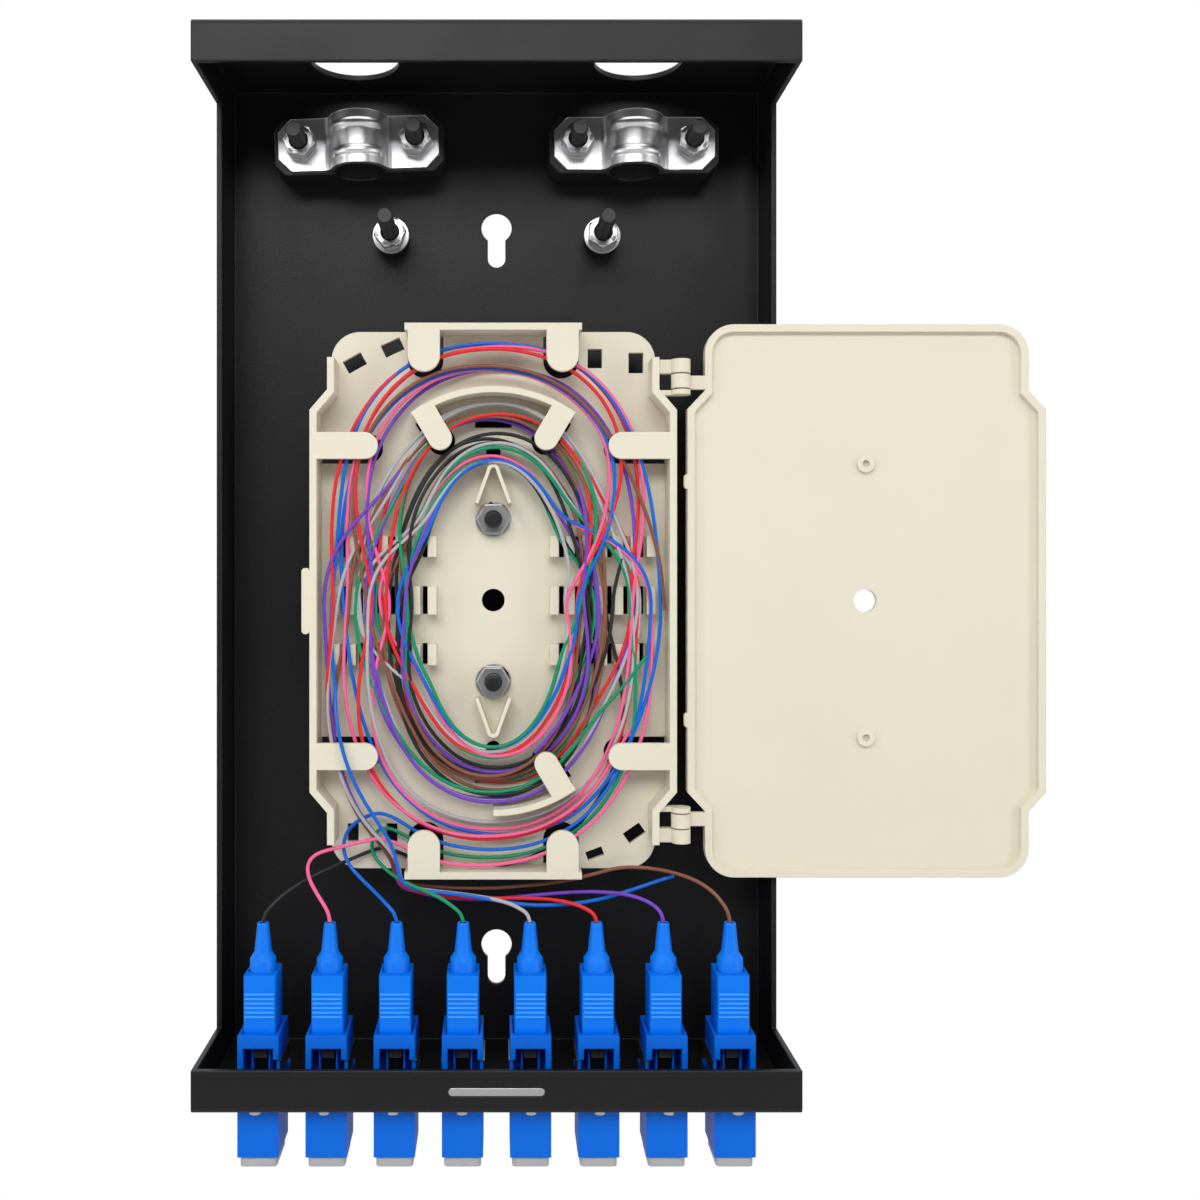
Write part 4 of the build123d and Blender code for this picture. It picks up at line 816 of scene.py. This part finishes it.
def turnedSurface(profile, columns=48):
    # A solid of revolution about the up axis: the profile (radius, height) turned about it, and a
    # flat face at either end.
    profile = np.asarray(profile, float)
    points = ringPoints(profile[:, 0:1], profile[:, 1:2], columns)
    return points, gridFaces(len(profile), columns) + endFaces(len(profile), columns)


stud = {"pitch": 0.7, "depth": 0.30, "radius": 1.98, "columns": 28, "steps": 7, "tip": 0.35}


def studSurface(bottom, top):
    # A threaded rod along the third axis, in millimetres. The radius falls below the crest by
    # the depth times a rounded triangle wave of height / pitch - angle / a full turn, and a cone
    # takes the thread off at the tip.
    rows = int((top - bottom) / stud["pitch"] * stud["steps"]) + 1
    height = np.linspace(bottom, top, rows)[:, None]
    turn = np.linspace(0, 1, stud["columns"], endpoint=False)[None, :]
    phase = (height / stud["pitch"] - turn) % 1.0
    groove = np.clip(1.25 - 2.5 * np.abs(phase - 0.5), 0, 1)
    radius = stud["radius"] - stud["depth"] * groove
    radius = np.minimum(radius, stud["radius"] - stud["tip"] + (top - height))
    points = ringPoints(radius, height, stud["columns"])
    return points, gridFaces(rows, stud["columns"]) + endFaces(rows, stud["columns"])


nut = {
    "steps": (0, 0.06, 0.12, 0.18, 0.82, 0.88, 0.94, 1.0),     # of its height
    "coneFrom": 0.97,          # radius of the cone at its ends, as a share of half the flats
    "coneAngle": math.radians(60),
    "boreChamfer": 0.22,       # as a share of the bore's radius
}


def nutSurface(flats, height, bore, columns=72):
    # A hexagon nut: each column's radius is the hexagon's, flats / 2 over the cosine of the
    # angle from the nearest flat, cut by a 30 degree cone at both ends; the bore is chamfered.
    angle = np.linspace(0, 2 * math.pi, columns, endpoint=False)
    hexagon = flats / 2 / np.cos((angle + math.pi / 6) % (math.pi / 3) - math.pi / 6)
    rise = np.array(nut["steps"]) * height
    cone = flats / 2 * nut["coneFrom"] + np.minimum(rise, height - rise) * math.tan(nut["coneAngle"])
    chamfer = bore * nut["boreChamfer"]
    inner = np.tile([[bore], [bore + chamfer]], columns)
    radius = np.concatenate([inner, np.minimum(hexagon, cone[:, None]), inner[::-1]])
    level = np.concatenate([[chamfer, 0.0], rise, [height, height - chamfer]])[:, None]
    faces = gridFaces(len(radius), columns) + innerFaces(len(radius), columns)
    return ringPoints(radius, level, columns), faces


def washerSurface(radius, thickness, bore, edge=0.18, chamfer=0.08, columns=56):
    # A flat ring with rounded outer edges, the profile turned about its axis.
    bend = np.radians([0, 30, 60, 90])
    low = [(radius - edge + edge * math.sin(b), edge - edge * math.cos(b)) for b in bend]
    high = [(r, thickness - h) for r, h in reversed(low)]
    profile = np.array([(bore, chamfer), (bore + chamfer, 0.0)] + low + high
                       + [(bore + chamfer, thickness), (bore, thickness - chamfer)])
    faces = gridFaces(len(profile), columns) + innerFaces(len(profile), columns)
    return ringPoints(profile[:, 0:1], profile[:, 1:2], columns), faces


def towardsFront(points, x, height, z, spin=0.0):
    # Stands a shape, in mm with its axis up, on the back plate's side with its axis to the front.
    turn = np.array([[math.cos(spin), -math.sin(spin)], [math.sin(spin), math.cos(spin)]])
    flat = points[:, :2] @ turn.T
    depth = sheet / mm + height + points[:, 2]
    return np.stack([x + flat[:, 0], -depth, z + flat[:, 1]], axis=1) * mm


def gathered(name, shapes):
    # One piece from several (points, faces).
    points, faces, start = [], [], 0
    for some, quads in shapes:
        points.append(some)
        faces += [[i + start for i in face] for face in quads]
        start += len(some)
    return newPiece(name, np.concatenate(points), faces)


hardware = {        # in mm; a washer's radius, thickness and bore, a nut's flats, height and thread
    "clampX": 34.0, "clampZ": 104.0, "clampTurn": math.radians(2.0), "studApart": 28.3,
    "clampSeat": 10.0, "clampTip": 22.6, "rodSink": 0.4, "threadBite": 0.03,
    "washer": {"clamp": (3.9, 0.8, 2.2), "tie": (4.6, 0.8, 2.2)}, "nut": (7.0, 3.2, 1.98),
    "tieX": 26.5, "tieZ": 82.9, "tieBoss": 5.0, "tieTip": 23.0,
}


def clampPlaces():
    # x and z of the four clamp studs, the left clamp being turned a little.
    for side in (-1, 1):
        turn = hardware["clampTurn"] if side < 0 else 0.0
        for end in (-0.5, 0.5):
            reach = end * hardware["studApart"]
            yield (side * hardware["clampX"] + reach * math.cos(turn),
                   hardware["clampZ"] + reach * math.sin(turn))


def makeHardware():
    # Threaded studs, chamfered nuts and rounded washers of the clamps and the tie posts.
    random = np.random.default_rng(3)
    seat = hardware["clampSeat"] + saddle["sheet"]
    flats, tall, thread = hardware["nut"]
    groups = {"clamp": (list(clampPlaces()), seat, hardware["clampTip"]),
              "tie": ([(-hardware["tieX"], hardware["tieZ"]), (hardware["tieX"], hardware["tieZ"])],
                      hardware["tieBoss"], hardware["tieTip"])}
    for word, (places, foot, tip) in groups.items():
        rods, rings, nuts = [], [], []
        radius, thick, bore = hardware["washer"][word]
        for x, z in places:
            points, faces = studSurface(foot + hardware["rodSink"], tip)
            rods.append((towardsFront(points, x, 0, z, random.uniform(0, 6)), faces))
            points, faces = washerSurface(radius, thick, bore)
            rings.append((towardsFront(points, x, foot, z), faces))
            points, faces = nutSurface(flats, tall, thread - hardware["threadBite"])
            nuts.append((towardsFront(points, x, foot + thick, z, random.uniform(0, 6)), faces))
        finish(gathered(word + "Rods", rods), [word + "_studs"])
        finish(gathered(word + "Rings", rings), [word + "_washers"])
        finish(gathered(word + "HexNuts", nuts), [word + "_nuts"])


saddle = {
    "length": 39.5, "width": 12.9, "sheet": 1.2, "corner": 3.2, "bore": 6.0, "fillet": 1.8,
    "beadHeight": 0.6, "beadHalf": 1.15, "beadOffset": 3.3, "across": 150, "along": 57,
    "beadReach": 60.0, "beadFade": 17.0,       # degrees from the arch's top, and to fade over
}


def saddlePath():
    # The saddle's upper outline across the cable, as points (across, height above the seat) and
    # their normals: flat ear, hollow fillet, round arch and back down, at even steps.
    radius, fillet = saddle["bore"] + saddle["sheet"], saddle["fillet"]
    ear = saddle["length"] / 2
    centre = math.sqrt((radius + fillet) ** 2 - (fillet + saddle["sheet"]) ** 2)
    lean = math.atan2(fillet + saddle["sheet"], centre)
    flat = ear - centre
    lengths = [flat, fillet * (math.pi / 2 - lean), radius * (math.pi - 2 * lean)]
    half = lengths[0] + lengths[1] + lengths[2] / 2
    s = np.linspace(-half, half, saddle["across"])
    side, t = np.sign(s + 1e-9), half - np.abs(s)
    onEar, onFillet = t < lengths[0], (t >= lengths[0]) & (t < lengths[0] + lengths[1])
    turn = (t - lengths[0]) / fillet
    arch = lean + (t - lengths[0] - lengths[1]) / radius
    x = np.where(onEar, ear - t, np.where(onFillet, centre - fillet * np.sin(turn), radius * np.cos(arch)))
    h = np.where(onEar, saddle["sheet"], np.where(
        onFillet, saddle["sheet"] + fillet - fillet * np.cos(turn), radius * np.sin(arch)))
    nx = np.where(onEar, 0.0, np.where(onFillet, np.sin(turn), np.cos(arch)))
    nh = np.where(onEar, 1.0, np.where(onFillet, np.cos(turn), np.sin(arch)))
    fromTop = np.degrees(np.abs(s)) / radius
    onArch = smooth((saddle["beadReach"] - fromTop) / saddle["beadFade"])
    return side * x, h, side * nx, nh, onArch


def makeSaddles():
    # A stamped strip over each cable: the outline swept along the cable, lifted along its normal
    # by two rounded beads, with the ears' corners cut and the underside one sheet below.
    x, h, nx, nh, onArch = saddlePath()
    corner = saddle["length"] / 2 - saddle["corner"]
    halfAlong = saddle["width"] / 2 - np.clip(np.abs(x) - corner, 0, None)
    share = np.linspace(-1, 1, saddle["along"])
    along = halfAlong[:, None] * share[None, :]
    bump = np.clip(1 - ((np.abs(along) - saddle["beadOffset"]) / saddle["beadHalf"]) ** 2, 0, 1)
    lift = saddle["beadHeight"] * smooth(bump) * onArch[:, None]
    layers = []
    for depth in (lift, lift - saddle["sheet"]):
        layers.append(np.stack([x[:, None] + depth * nx[:, None], along, h[:, None] + depth * nh[:, None]],
                               axis=-1).reshape(-1, 3))
    rows, columns = saddle["across"], saddle["along"]
    points = np.concatenate(layers)
    count = rows * columns
    top = gridFaces(rows, columns, 0, closed=False)
    under = [face[::-1] for face in gridFaces(rows, columns, count, closed=False)]
    border = ([(i, 0) for i in range(rows)] + [(rows - 1, j) for j in range(1, columns)]
              + [(i, columns - 1) for i in range(rows - 2, -1, -1)]
              + [(0, j) for j in range(columns - 2, 0, -1)])
    edge = [i * columns + j for i, j in border]
    rim = [[a + count, b + count, b, a] for a, b in zip(edge, edge[1:] + edge[:1])]
    for side, word in ((-1, "left"), (1, "right")):
        turn = hardware["clampTurn"] if side < 0 else 0.0
        placed = towardsFront(points, side * hardware["clampX"], hardware["clampSeat"],
                              hardware["clampZ"], turn)
        piece = newPiece("saddle_" + word, placed, top + under + rim)
        finish(piece, ["clamp_saddle_" + word])


boot = {
    "z": (-98.3, -90.8, -89.6, -82.8),         # foot, collar's top, shoulder and tip
    "radii": (3.0, 2.0, 1.3),                  # of the collar, the shoulder and the tip
    "mouth": 0.62, "mouthDepth": 2.5,
}


def makeBoots():
    # Each boot turned about its axis: collar, rounded shoulder, slender taper and open mouth.
    low, collar, shoulder, tip = boot["z"]
    wide, mid, slim = boot["radii"]
    mouth = boot["mouth"]
    profile = [(0.02, low), (wide, low), (wide, collar - 0.22), (wide - 0.07, collar - 0.06),
               (wide - 0.2, collar + 0.03), (mid + 0.16, shoulder - 0.1), (mid + 0.05, shoulder),
               (mid, shoulder + 0.2), (slim + 0.14, tip - 1.2), (slim + 0.06, tip - 0.3),
               (slim, tip - 0.12), (slim - 0.12, tip), (mouth + 0.12, tip),
               (mouth, tip - 0.15), (mouth, tip - boot["mouthDepth"]),
               (0.02, tip - boot["mouthDepth"] - 0.1)]
    shapes = []
    for number in range(portRow["count"]):
        points, faces = turnedSurface(profile)
        across = (number - (portRow["count"] - 1) / 2) * portRow["pitch"] * mm
        shapes.append((points * mm + np.array([across, rowPlane, 0]), faces))
    finish(gathered("boots", shapes), ["plug_boots"])


softEdges = {                  # how far each node's edges are rounded, in mm
    "clamp_base_left": 0.45, "clamp_base_right": 0.45, "lip_strip": 0.25, "tie_bosses": 0.2,
    "tray_spacers": 0.2, "tray_nuts": 0.22, "tray_studs": 0.2, "adapter_clips": 0.06,
    "adapter_screws": 0.2, "adapter_nuts": 0.12, "plug_cores": 0.12,
}
for number in range(1, portRow["count"] + 1):
    softEdges["adapter_%d" % number] = 0.16
    softEdges["plug_grip_%d" % number] = 0.05
    softEdges["dust_cap_%d" % number] = 0.2


def makeFibres():
    random = np.random.default_rng(5)
    marks, lanes, levels = planLanes(random)
    for name in fibreRoutes:
        piece, mouth = makeFibre(name, marks[name], lanes[name], levels[name], random.uniform(0, 6))
        piece.data.materials.append(paints["fibre_" + name])
        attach(piece, "root")
        stretches = ["fibre_" + name, "fibre_coil"] + (["fibre_blue_tail"] if name == "blue" else [])
        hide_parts(*stretches)


paintNodes()
makeFibres()
print("stage: hardware")
makeHardware()
print("stage: saddles and boots")
makeSaddles()
makeBoots()
print("stage: softened nodes")
for name, width in softEdges.items():
    softened(name, width)
